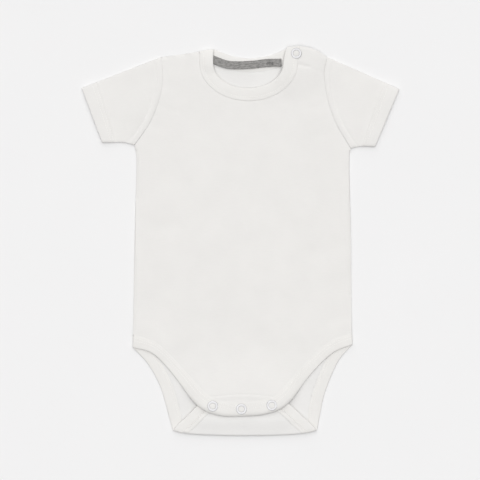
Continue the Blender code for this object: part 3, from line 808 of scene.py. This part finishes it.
def back_neck_line():
    """The back's neck edge from left to right, and its binding's seam, which fans at the shoulders."""
    edge = []
    for index in range(BACK_NECK_SIDES + 1):
        share = -1.0 + 2 * index / BACK_NECK_SIDES
        x = BACK_NECK_X + BACK_NECK_HALF * share
        edge.append(Vector((x, BACK_NECK_Y + BACK_NECK_RISE * share**2)))
    return edge, moved_aside(edge, -NECK_WIDTH)


def in_fold(point):
    """Whether a pattern point lies in the bottom's fold or near it."""
    return -FOLD_LENGTH - FOLD_RADIUS < point.y < FOLD_RADIUS


def back_leg_lines():
    """The back binding's edge and seam on the pattern: down the left leg, over the fold, round
    the tab and back up the right leg, with many points in the fold and fewer elsewhere."""
    halves = []
    for left in (True, False):
        rows = [[to_pattern(point) for point in row] for row in side_rows(LEG_BACK, left)]
        rows += [[to_pattern(point, True) for point in row] for row in side_rows(TAB, left)]
        halves.append(rows)
    edge, seam = binding_lines(*halves, 0.5)
    kept = [
        index
        for index in range(len(edge))
        if index % 4 == 0 or index == len(edge) - 1 or in_fold(edge[index]) or in_fold(seam[index])
    ]
    return [edge[index] for index in kept], [seam[index] for index in kept]


tab_edge, tab_seam = back_leg_lines()
back_neck_edge, back_neck_seam = back_neck_line()
back_stretches = [
    ("side", left_side),
    ("armhole", left_armhole),
    ("side", curve_through(LEFT_SHOULDER)[1:-1]),
    ("bound", vectors(LEFT_FAN) + back_neck_seam + vectors(RIGHT_FAN)),
    ("open", curve_through(RIGHT_SHOULDER_BACK)[1:-1]),
    ("armhole", right_armhole),
    ("side", right_side),
]
back_stretches = [(kind, [to_pattern(point) for point in line]) for kind, line in back_stretches]
back_stretches.append(("bound", tab_seam[::-1]))
back_rows = [-FOLD_LENGTH * index / FOLD_SIDES for index in range(FOLD_SIDES + 1)]
back_rows += [GRID * index for index in BACK_ROWS]
back_rows += [-FOLD_LENGTH - GRID * index for index in TAB_ROWS]
inside_jersey = jersey("inside_jersey", INSIDE_COTTON)
back = cut_panel("back_cloth", back_stretches, on_back, BACK_EDGES, back_rows, inside_jersey)
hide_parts("back_body")


# The back's leg binding runs from hip to hip round the tab. On the tab its sewn side stands up
# as a narrow ridge, and one row of light stitches shows on the inner side of the seat.
TAB_WIDTH = 12.0  # what the sections below are drawn for
FLOOR_SECTION = [
    (0.0, 0.8), (0.12, 1.2), (0.45, 1.48), (1.2, 1.62), (3.0, 1.68), (5.0, 1.68), (7.5, 1.66),
    (9.2, 1.6), (9.8, 1.52), (10.1, 1.48), (10.4, 1.48), (10.9, 1.43), (11.6, 1.3), (12.3, 1.12),
    (13.0, 0.99), (12.8, 0.96), (11.9, 0.9), (11.7, 0.5), (11.65, 0.1), (11.4, 0.0),
    (11.2, 0.0), (10.6, 0.0), (9.9, 0.0), (9.2, 0.0), (8.7, 0.08), (8.4, 0.1), (8.0, 0.03),
    (6.0, 0.0), (3.0, 0.0), (1.2, 0.0), (0.45, 0.12), (0.12, 0.4),
]  # fmt: skip
TAB_SECTION = [
    (0.0, 0.8), (0.12, 1.2), (0.45, 1.5), (1.2, 1.6), (3.0, 1.6), (5.0, 1.6), (7.5, 1.6),
    (9.2, 1.6), (9.8, 1.58), (10.1, 1.55), (10.4, 1.58), (10.9, 1.6), (11.3, 1.6), (11.6, 1.5),
    (11.7, 1.3), (11.7, 1.04), (11.7, 0.8), (11.7, 0.12), (12.75, 0.04), (12.85, -0.38),
    (12.6, -0.56), (11.7, -0.6), (10.75, -0.42), (9.7, -0.6), (9.15, -0.5), (8.85, 0.1),
    (8.5, 0.2), (8.15, -0.16), (3.0, -0.2), (1.2, -0.16), (0.45, 0.08), (0.12, 0.4),
]  # fmt: skip
FOLD_SECTION = [(min(across, 11.7), min(BAND, max(0.0, height))) for across, height in FLOOR_SECTION]
TAB_RIDGE = 18  # the section's points from here on keep their distances where the strip narrows
SECTION_CHANGE = 2.5  # distance from the fold over which one section turns into another
SEAT_ROW = (10.1, 1.58)  # where the row of stitches lies on the seat's section


def mixed_section(parts):
    """A section between others, each given with its weight."""
    columns = zip(*[section for section, _ in parts])
    weights = [weight for _, weight in parts]
    return [
        tuple(sum(value[axis] * weight for value, weight in zip(column, weights)) for axis in (0, 1))
        for column in columns
    ]


def tab_weights(point):
    """How much a pattern point belongs to the seat, the fold and the tab."""
    seat = soft_step(point.y / SECTION_CHANGE)
    tab = soft_step((-FOLD_LENGTH - point.y) / SECTION_CHANGE)
    return seat, 1.0 - seat - tab, tab


tab_sections = []
for outer, inner in zip(tab_edge, tab_seam):
    weights = tab_weights(outer.lerp(inner, 0.5))
    true_size = TAB_WIDTH / (inner - outer).length
    ridge = [(across * true_size, height) for across, height in TAB_SECTION[TAB_RIDGE:]]
    tab_section = TAB_SECTION[:TAB_RIDGE] + ridge
    tab_sections.append(mixed_section(list(zip((FLOOR_SECTION, FOLD_SECTION, tab_section), weights))))
tab_places = strip_places(tab_edge, tab_seam, on_back)
leg_back, tab_length = sew_strip(
    "back_leg_binding_cloth", tab_places, tab_sections, TAB_WIDTH, (BAND, BAND), fine_rib
)
seat_runs, run = [], []
for outer, inner, place in zip(tab_edge, tab_seam, tab_places):
    if inner.y > SECTION_CHANGE:
        run.append(place)
    elif run:
        seat_runs.append(run)
        run = []
seat_runs.append(run)
seat_lines = [line for places in seat_runs for line in rows_on(places, TAB_WIDTH, [SEAT_ROW])]
leg_back_stitches = sew_rows("back_leg_stitches", seat_lines, 5)
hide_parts("leg_binding_back")


# The neck binding is one strip of the rib. It runs down the front's neck from the right lap,
# round to the left shoulder, turns over it and ends along the back's neck.
NECK_EDGE = (7.7, 35.0, 25.0)
SHOULDER_EDGE = Vector((-27.0, 192.3))  # neck end of the left shoulder
SHOULDER_SEAM = Vector((-41.0, 190.0))
RIGHT_NECK_EDGE = [(43.4, 182.5), (44.6, 188.0), (46.4, 193.7)]  # the front neck's right end
RIGHT_NECK_SEAM = [(57.4, 182.5), (58.0, 188.0), (58.9, 195.0)]
LEFT_NECK_EDGE = [(-27.2, 187.5), (-27.3, 182.5)]  # and its left end, from the shoulder down
LEFT_NECK_SEAM = [(-41.0, 187.0), (-41.0, 182.5)]
COLLAR_WIDTH = 14.0  # what the sections below are drawn for
COLLAR_FRONT_SECTION = [
    (0.0, 0.8), (0.12, 1.2), (0.5, 1.5), (1.3, 1.68), (3.0, 1.78), (5.5, 1.8), (8.0, 1.76),
    (9.3, 1.7), (9.8, 1.64), (10.1, 1.6), (10.4, 1.62), (11.0, 1.65), (12.0, 1.62), (12.9, 1.57),
    (13.5, 1.5), (13.95, 1.34), (14.3, 1.04), (14.2, 0.97), (13.9, 0.93), (13.65, 0.5),
    (13.6, 0.1), (13.2, 0.0), (8.0, 0.0), (3.0, 0.0), (1.2, 0.0), (0.45, 0.1), (0.12, 0.4),
]  # fmt: skip
COLLAR_BACK_SECTION = [
    (0.0, 0.8), (0.12, 1.2), (0.45, 1.5), (1.3, 1.6), (3.0, 1.6), (5.5, 1.6), (8.0, 1.6),
    (9.3, 1.6), (9.8, 1.56), (10.1, 1.52), (10.4, 1.56), (11.0, 1.6), (12.0, 1.6), (12.9, 1.6),
    (13.4, 1.58), (13.65, 1.5), (13.7, 1.2), (13.75, 0.9), (14.0, 0.68), (15.0, 0.62),
    (14.8, 0.58), (12.5, 0.3), (8.0, 0.0), (3.0, -0.1), (1.2, 0.0), (0.45, 0.14), (0.12, 0.4),
]  # fmt: skip
COLLAR_ROW = (10.1, 1.68)
COLLAR_NUDGE = Vector((0.7, 0.35))  # keeps the places apart where the seam fans out
COLLAR_END = 0.8  # height at which its cut ends close


def shoulder_fold(edge_start, seam_start):
    """Places on the neck binding where it turns over the left shoulder, from front to back."""
    along = (SHOULDER_SEAM - SHOULDER_EDGE).normalized()
    outwards = Vector((along.y, -along.x, 0.0))

    def place_at(way):
        def place(share):
            corner = edge_start.lerp(seam_start, share)
            radius = (on_front(corner)[0].z + BAND) / 2
            root = corner.to_3d() - radius * outwards + Vector((0.0, 0.0, radius))
            return root + (radius - BAND) * way, way

        return place

    turns = [math.pi * index / FOLD_SIDES for index in range(FOLD_SIDES + 1)]
    return [place_at(math.sin(turn) * outwards + Vector((0.0, 0.0, math.cos(turn)))) for turn in turns]


def on_back_binding(point, wall=BAND):
    """The upper side of what lies flat on the ground at a plan point, and the way down."""
    return Vector((*point, rise(BACK_LIFTS, *point) + wall)), Vector((0.0, 0.0, -1.0))


collar_edge = vectors(LEFT_NECK_EDGE) + half_ellipse(NECK_EDGE, NECK_SIDES) + vectors(RIGHT_NECK_EDGE)
collar_seam = vectors(LEFT_NECK_SEAM) + half_ellipse(NECK_SEAM, NECK_SIDES) + vectors(RIGHT_NECK_SEAM)
collar_front = strip_places(collar_edge, collar_seam, on_front)[::-1]
collar_fold = shoulder_fold(SHOULDER_EDGE, SHOULDER_SEAM)
collar_back_edge = [back_neck_edge[0], back_neck_edge[0] + Vector((COLLAR_NUDGE.x, -COLLAR_NUDGE.y))]
collar_back_edge += back_neck_edge[1:-1]
collar_back_edge += [back_neck_edge[-1] + step * COLLAR_NUDGE for step in (-1, 0, 1)]
collar_back_seam = vectors(LEFT_FAN[1:]) + back_neck_seam + vectors(RIGHT_FAN)
collar_back = strip_places(collar_back_edge, collar_back_seam, on_back_binding)
collar_sections = [COLLAR_FRONT_SECTION] * len(collar_front)
for index in range(len(collar_fold)):
    share = soft_step(index / FOLD_SIDES)
    collar_sections.append(mixed_section([(COLLAR_FRONT_SECTION, 1.0 - share), (COLLAR_BACK_SECTION, share)]))
collar_sections += [COLLAR_BACK_SECTION] * len(collar_back)
collar_places = collar_front + collar_fold + collar_back
collar, collar_length = sew_strip(
    "neck_binding_cloth", collar_places, collar_sections, COLLAR_WIDTH, (COLLAR_END, COLLAR_END), collar_rib
)
collar_lines = rows_on(collar_front, COLLAR_WIDTH, [COLLAR_ROW])
collar_stitches = sew_rows("neck_stitches", collar_lines, 7)
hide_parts("neck_binding")


# The neck tape is a woven strip of heather grey cotton, sewn flat over the back neck's seam.
# Its right end is folded under, and a short dark bar tack is sewn on it there.
TAPE_MIDDLE = [(-29.5, 181.9), (-12.0, 176.0), (10.0, 175.9), (26.0, 177.7), (41.0, 178.0)]
TAPE_WIDTH = 7.3
TAPE = 1.0
TAPE_RAGGED = 0.22  # how far its sides wander
TAPE_FRAY = 1.7  # and over what length
TAPE_STEP = 0.8
TAPE_SECTION = [
    (0.0, 0.5), (0.06, 0.2), (0.3, 0.04), (0.9, 0.0), (1.6, 0.04), (2.4, 0.0), (3.6, 0.0),
    (4.9, 0.0), (5.7, 0.04), (6.4, 0.0), (7.0, 0.04), (7.24, 0.2), (7.3, 0.5), (7.24, 0.8),
    (7.0, 1.0), (3.6, 1.0), (0.3, 1.0), (0.06, 0.8),
]  # fmt: skip
TAPE_FOLD_SECTION = [(across, height - 0.45 if height < 0.5 else height) for across, height in TAPE_SECTION]
TAPE_FOLD = 3.4  # length of the doubled right end
HEATHER_DARK = (0.190, 0.186, 0.181)
HEATHER_LIGHT = (0.355, 0.347, 0.337)
TACK_THREAD = (0.035, 0.034, 0.036)
TACK_START = Vector((26.3, 177.7))
TACK_END = Vector((32.7, 177.6))
TACK_HEIGHT = 2.3
TACK_STROKES = 22
TACK_RADIUS = 0.17
TACK_RISE = 0.12


def heather_tape():
    """Woven cotton tape of mixed grey yarns, with slanting ribs."""
    material, tree, shader = new_material("heather_tape")
    cut = cut_place(tree)
    flecks = add_node(tree, "ShaderNodeMapping", {"Vector": cut, "Scale": (260.0, 900.0, 1.0)})
    melange = noise_texture(tree, flecks.outputs["Vector"], 1.0, 4.0, 0.7)
    turn = (0.0, 0.0, math.radians(38.0))
    slant = add_node(tree, "ShaderNodeMapping", {"Vector": cut, "Rotation": turn}).outputs["Vector"]
    waves = {"Vector": slant, "Scale": 460.0, "Distortion": 1.2, "Detail": 1.0}
    ribs = add_node(tree, "ShaderNodeTexWave", waves)
    add_bump(tree, shader, ribs.outputs["Fac"], 0.55, 0.2)
    look = {"Base Color": colour_ramp(tree, melange, [(0.36, HEATHER_DARK), (0.62, HEATHER_LIGHT)])}
    look |= {"Roughness": 0.9, "Specular IOR Level": 0.25, "Sheen Weight": 0.1}
    fill_inputs(tree, shader, look)
    return material


def on_tape(point):
    """The tape's upper side at a plan point, and the way down."""
    return on_back_binding(point, BAND + SEAM + TAPE)


tape_middle = curve_through(TAPE_MIDDLE, TAPE_STEP)
tape_sides = []
for side, seed in ((0.6, 1.0), (-0.5, 9.0)):
    line = moved_aside(tape_middle, side * TAPE_WIDTH)
    ragged = []
    for point in line:
        fray = TAPE_RAGGED * noise.noise(Vector((point.x / TAPE_FRAY, seed, 0.0)))
        ragged.append(point + Vector((0.0, math.copysign(1.0, side) * fray)))
    tape_sides.append(ragged)
tape_places = strip_places(*tape_sides, on_tape)
tape_sections = []
for point in tape_middle:
    share = soft_step((point.x - tape_middle[-1].x + TAPE_FOLD) / TAPE_STEP)
    tape_sections.append(mixed_section([(TAPE_SECTION, 1.0 - share), (TAPE_FOLD_SECTION, share)]))
tape, tape_length = sew_strip(
    "neck_tape_cloth", tape_places, tape_sections, TAPE_WIDTH, (TAPE / 2, TAPE / 2), heather_tape()
)

tack_curve = bpy.data.curves.new("bar_tack", "CURVE")
tack_curve.dimensions = "3D"
tack_curve.bevel_depth = TACK_RADIUS * MM
tack_curve.bevel_resolution = 1
stroke = tack_curve.splines.new("POLY")
stroke.points.add(TACK_STROKES)
for index, knot in enumerate(stroke.points):
    middle = TACK_START.lerp(TACK_END, index / TACK_STROKES)
    top = on_tape(middle)[0].z + TACK_RISE
    side = 0.5 if index % 2 else -0.5
    knot.co = (middle.x * MM, (middle.y + side * TACK_HEIGHT) * MM, top * MM, 1.0)
tack_path = add_object("bar_tack_path", tack_curve)
tack_mesh = plain_mesh(tack_path)
bpy.data.objects.remove(tack_path)
tack_mesh.materials.clear()
tack_mesh.materials.append(thread("dark_thread", TACK_THREAD))
tack = add_object("bar_tack", tack_mesh)
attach(tack, "root")
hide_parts("neck_tape")


# Each sleeve is a short tube of jersey, flattened. Its seam allowance makes a soft ridge along
# the armhole, and its cuff is a turned hem with two rows of light stitches.
Sleeve = namedtuple("Sleeve", "name node left cuff_low cuff_high underarm seed")

SLEEVES = [
    Sleeve("left_sleeve_cloth", "sleeve_left", True, (-138.4, 98.2), (-159.0, 153.0), (-118.0, 98.6), 11),
    Sleeve("right_sleeve_cloth", "sleeve_right", False, (134.6, 94.2), (159.0, 152.2), (120.0, 94.6), 13),
]
SLEEVE_CROWN = 0.7  # how far the upper side swells in the middle
HEM_THICKER = 0.5  # the hem's second layer, on the upper and on the lower side
HEM_WIDENS = 0.25  # the hem's rows stand this share farther from the cuff at its upper end
HEM_BAND = 16.0  # distance from the cuff to the first of its rings
ARMHOLE_BAND = 8.0  # and from the armhole to the last of its own
MIDDLE_RINGS = 14
# Rings round the sleeve: distance from the armhole or from the cuff, what it adds to the upper
# side's height, how much of the hem is there, and how much of the wall.
Ring = namedtuple("Ring", "start distance added hem full")

ARMHOLE_RINGS = [
    (-0.28, -0.02, 0.0, 0.95), (0.05, 0.0, 0.0, 0.98), (0.4, 0.05, 0.0, 1.0), (0.9, 0.14, 0.0, 1.0),
    (1.7, 0.3, 0.0, 1.0), (3.0, 0.46, 0.0, 1.0), (4.4, 0.48, 0.0, 1.0), (5.2, 0.3, 0.0, 1.0),
    (6.0, -0.1, 0.0, 1.0), (6.9, -0.3, 0.0, 1.0), (ARMHOLE_BAND, -0.2, 0.0, 1.0),
]  # fmt: skip
CUFF_RINGS = [
    (HEM_BAND, 0.0, 0.0, 1.0), (14.4, -0.1, 0.1, 1.0), (13.4, -0.12, 0.3, 1.0), (12.8, 0.02, 0.7, 1.0),
    (12.3, 0.05, 0.9, 1.0), (12.0, -0.04, 1.0, 1.0), (11.7, 0.05, 1.0, 1.0), (11.0, 0.14, 1.0, 1.0),
    (10.2, 0.14, 1.0, 1.0), (9.5, 0.05, 1.0, 1.0), (9.1, -0.05, 1.0, 1.0), (8.7, 0.05, 1.0, 1.0),
    (7.8, 0.18, 1.0, 1.0), (5.0, 0.22, 1.0, 1.0), (2.2, 0.2, 1.0, 1.0), (0.9, 0.1, 1.0, 1.0),
    (0.4, 0.03, 1.0, 0.9), (0.12, -0.04, 1.0, 0.62), (0.0, -0.1, 1.0, 0.25),
]  # fmt: skip
SLEEVE_RINGS = [Ring("armhole", *row) for row in ARMHOLE_RINGS]
middle_shares = [index / (MIDDLE_RINGS + 1) for index in range(1, MIDDLE_RINGS + 1)]
SLEEVE_RINGS += [Ring("between", share, 0.0, 0.0, 1.0) for share in middle_shares]
SLEEVE_RINGS += [Ring("cuff", *row) for row in CUFF_RINGS]
HEM_ROWS = [Ring("cuff", 12.0, 0.08, 1.0, 1.0), Ring("cuff", 9.1, 0.07, 1.0, 1.0)]
SLEEVE_ACROSS = 26
SLEEVE_RUMPLE = Vector((17.0, 23.0))  # how long its soft unevenness is both ways
FOLD_REACH = 0.6  # how far the tube's side folds reach out, as a share of their height
FOLD_TURNS = range(-72, 73, 24)


def point_along(line, share):
    """The point at a share of a line's length."""
    lengths = [(b - a).length for a, b in zip(line, line[1:])]
    rest = share * sum(lengths)
    for a, b, length in zip(line, line[1:], lengths):
        if rest <= length:
            return a.lerp(b, rest / length)
        rest -= length
    return line[-1].copy()


def sleeve_place(sleeve):
    """The plan point of a sleeve at shares out to the cuff and up from the underarm."""
    outwards = SEAM if sleeve.left else -SEAM
    armhole = moved_aside(curve_through(side_points(ARMHOLE, sleeve.left)), outwards)
    low = curve_through([armhole[0], sleeve.underarm, sleeve.cuff_low])
    cuff_low, cuff_high = Vector(sleeve.cuff_low), Vector(sleeve.cuff_high)

    def place(out, up):
        between_ends = point_along(armhole, up).lerp(cuff_low.lerp(cuff_high, up), out)
        top = armhole[-1].lerp(cuff_high, out)
        between_edges = point_along(low, max(0.0, out)).lerp(top, up)
        corners = armhole[0].lerp(cuff_low, out).lerp(top, up)
        return between_ends + between_edges - corners

    return place


def ring_share(place, ring, up):
    """How far out a ring lies at a share of the way up."""
    length = (place(1.0, up) - place(0.0, up)).length
    if ring.start == "armhole":
        return ring.distance / length
    if ring.start == "cuff":
        return 1.0 - ring.distance * (1.0 + HEM_WIDENS * up) / length
    first = ARMHOLE_BAND / length
    last = 1.0 - HEM_BAND * (1.0 + HEM_WIDENS * up) / length
    return first + (last - first) * ring.distance


def sleeve_ring(place, ring, inner, seed):
    """The points of one ring on the sleeve's outer or inner side."""
    wall = CLOTH + HEM_THICKER * ring.hem
    tall = 2 * wall + SEAM
    length = (place(ring_share(place, ring, 1.0), 1.0) - place(ring_share(place, ring, 0.0), 0.0)).length
    skin = wall * (0.5 + 0.5 * ring.full) if inner else wall * 0.5 * (1.0 - ring.full)
    radius = tall / 2 - skin
    reach = FOLD_REACH * tall / 2 / length

    def on_ring(share, height, upper):
        out = ring_share(place, ring, share)
        point = place(out, share)
        if upper:
            middle = math.sin(math.pi * min(1.0, max(0.0, share)))
            crown = SLEEVE_CROWN * soft_step(3 * out) * middle
            weight = middle**0.35
            rumple = 0.5 * noise.noise(Vector((point.x / SLEEVE_RUMPLE.x, point.y / SLEEVE_RUMPLE.y, seed)))
            height += crown + weight * (0.0 if inner else ring.added) + weight * rumple * soft_step(3 * out)
        return Vector((point.x, point.y, height))

    def side_fold(root, way, turns):
        fold = []
        for turn in map(math.radians, turns):
            share = root + way * (FOLD_REACH * radius / length * math.cos(turn))
            fold.append(on_ring(share, tall / 2 + radius * math.sin(turn), False))
        return fold

    shares = [reach + (1.0 - 2 * reach) * index / SLEEVE_ACROSS for index in range(SLEEVE_ACROSS + 1)]
    points = [on_ring(share, tall - skin, True) for share in shares]
    points += side_fold(1.0 - reach, 1.0, FOLD_TURNS[::-1])
    points += [on_ring(share, skin, False) for share in reversed(shares)]
    return points + side_fold(reach, -1.0, FOLD_TURNS)


for sleeve in SLEEVES:
    place = sleeve_place(sleeve)
    points, faces = [], []
    for inner in (False, True):
        for ring in SLEEVE_RINGS:
            points += sleeve_ring(place, ring, inner, sleeve.seed)
    count = len(points) // (2 * len(SLEEVE_RINGS))
    stations = len(SLEEVE_RINGS)
    pairs = [(row, row + 1) for row in range(stations - 1)]
    pairs += [(row + stations, row + 1 + stations) for row in range(stations - 1)]
    pairs += [(0, stations), (stations - 1, 2 * stations - 1)]
    for row, following in pairs:
        faces += ring_faces(row, following, count)
    piece = add_piece(sleeve.name, points, faces, [point.xy for point in points], white_jersey)
    hem_lines = []
    for ring in HEM_ROWS:
        round_it = sleeve_ring(place, ring, False, sleeve.seed)
        for start in (0, SLEEVE_ACROSS + 1 + len(FOLD_TURNS)):
            hem_lines.append(round_it[start + 1 : start + SLEEVE_ACROSS])
    hem_stitches = sew_rows(f"{sleeve.node}_stitches", hem_lines, sleeve.seed)
    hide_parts(sleeve.node)


# Four plastic ring snaps close the garment, three at the crotch and one on the right shoulder.
# The pale rings clench through the top layer, whose cloth shows inside them.
RING_SIDES = 64
CAP_SIDES = 32  # of the cloth inside a ring
RING_PROFILE = [  # radius and height, from the hole over the top to the outside
    (3.05, -0.35), (2.95, -0.1), (2.97, 0.1), (3.1, 0.34), (3.35, 0.52), (3.65, 0.6), (4.2, 0.62),
    (4.7, 0.59), (4.97, 0.48), (5.22, 0.28), (5.38, 0.0), (5.35, -0.35),
]  # fmt: skip
CAP_PROFILE = [(3.2, -0.3), (3.0, 0.1), (2.6, 0.28), (2.0, 0.4), (1.2, 0.46), (0.6, 0.48)]
LILAC_PLASTIC = (0.758, 0.754, 0.766)
PAINTED_EDGE_SHADE = 0.42  # painted shade: the plastic's colour is darkened to this share where its surface turns down
SHOULDER_SINK = 0.25  # the shoulder ring presses into its cloth
SHOULDER_SLOPE = (0.06, -0.052)  # and leans from the binding to the thinner cloth beside it
SNAP_NAMES = ("snap_crotch_left", "snap_crotch_middle", "snap_crotch_right", "snap_shoulder")


def snap_plastic():
    """Moulded pale plastic, a little cloudy, with fine scratches from the washing, and painted shade where
    its surface turns down.
    """
    material, tree, shader = new_material("lilac_plastic")
    place = object_place(tree)
    cloud = noise_texture(tree, place, 420.0, 3.0)
    colour = uneven_colour(tree, cloud, LILAC_PLASTIC, (0.35, 0.96), (0.65, 1.03))
    # Painted shade: the colour darkens where the surface turns from facing up, so the rings' edges look
    # shadowed.
    normal = add_node(tree, "ShaderNodeNewGeometry", {}).outputs["Normal"]
    facing = add_node(tree, "ShaderNodeSeparateXYZ", {"Vector": normal}).outputs["Z"]
    steepness = {"Value": facing, "From Min": 0.35, "From Max": 0.95, "To Min": PAINTED_EDGE_SHADE}
    shade = add_node(tree, "ShaderNodeMapRange", steepness).outputs["Result"]
    painted_shade_colour = add_node(tree, "ShaderNodeVectorMath", {"Vector": colour, "Scale": shade}, operation="SCALE")
    wear = noise_texture(tree, place, 1800.0)
    rough = add_node(tree, "ShaderNodeMapRange", {"Value": wear, "To Min": 0.3, "To Max": 0.46})
    add_bump(tree, shader, wear, 0.08, 0.05)
    look = {"Base Color": painted_shade_colour.outputs["Vector"], "Roughness": rough.outputs["Result"]}
    fill_inputs(tree, shader, look)
    return material


def turned(name, profile, centre, slope, sides, closed, material):
    """A turned piece from its profile of radii and heights; an open profile ends on the axis."""
    points, faces = [], []
    for side in range(sides):
        turn = math.tau * side / sides
        for radius, height in profile:
            across, up = radius * math.cos(turn), radius * math.sin(turn)
            points.append(centre + Vector((across, up, height - slope[0] * across - slope[1] * up)))
    count = len(profile)
    for side in range(sides):
        faces += ring_faces(side, (side + 1) % sides, count, closed)
    if not closed:
        for index, height in ((0, profile[0][1]), (count - 1, profile[-1][1])):
            points.append(centre + Vector((0.0, 0.0, height)))
            rim = [side * count + index for side in range(sides)]
            faces += [(rim[side], rim[(side + 1) % sides], len(points) - 1) for side in range(sides)]
    return add_piece(name, points, faces, [point.xy for point in points], material)


plastic = snap_plastic()
for snap in SNAP_NAMES:
    low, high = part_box(f"{snap}_ring")
    centre = Vector(((low.x + high.x) / 2, (low.y + high.y) / 2, low.z)) / MM
    slope = (0.0, 0.0)
    if snap == "snap_shoulder":
        centre.z -= SHOULDER_SINK
        slope = SHOULDER_SLOPE
    ring = turned(f"{snap}_cap_ring", RING_PROFILE, centre, slope, RING_SIDES, True, plastic)
    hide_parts(f"{snap}_ring")
    cap = turned(f"{snap}_cloth", CAP_PROFILE, centre, slope, CAP_SIDES, False, fine_rib)
    for part in ("socket", "stud", "base"):
        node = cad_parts[f"{snap}_{part}"]
        node.data.materials.clear()
        node.data.materials.append(plastic)
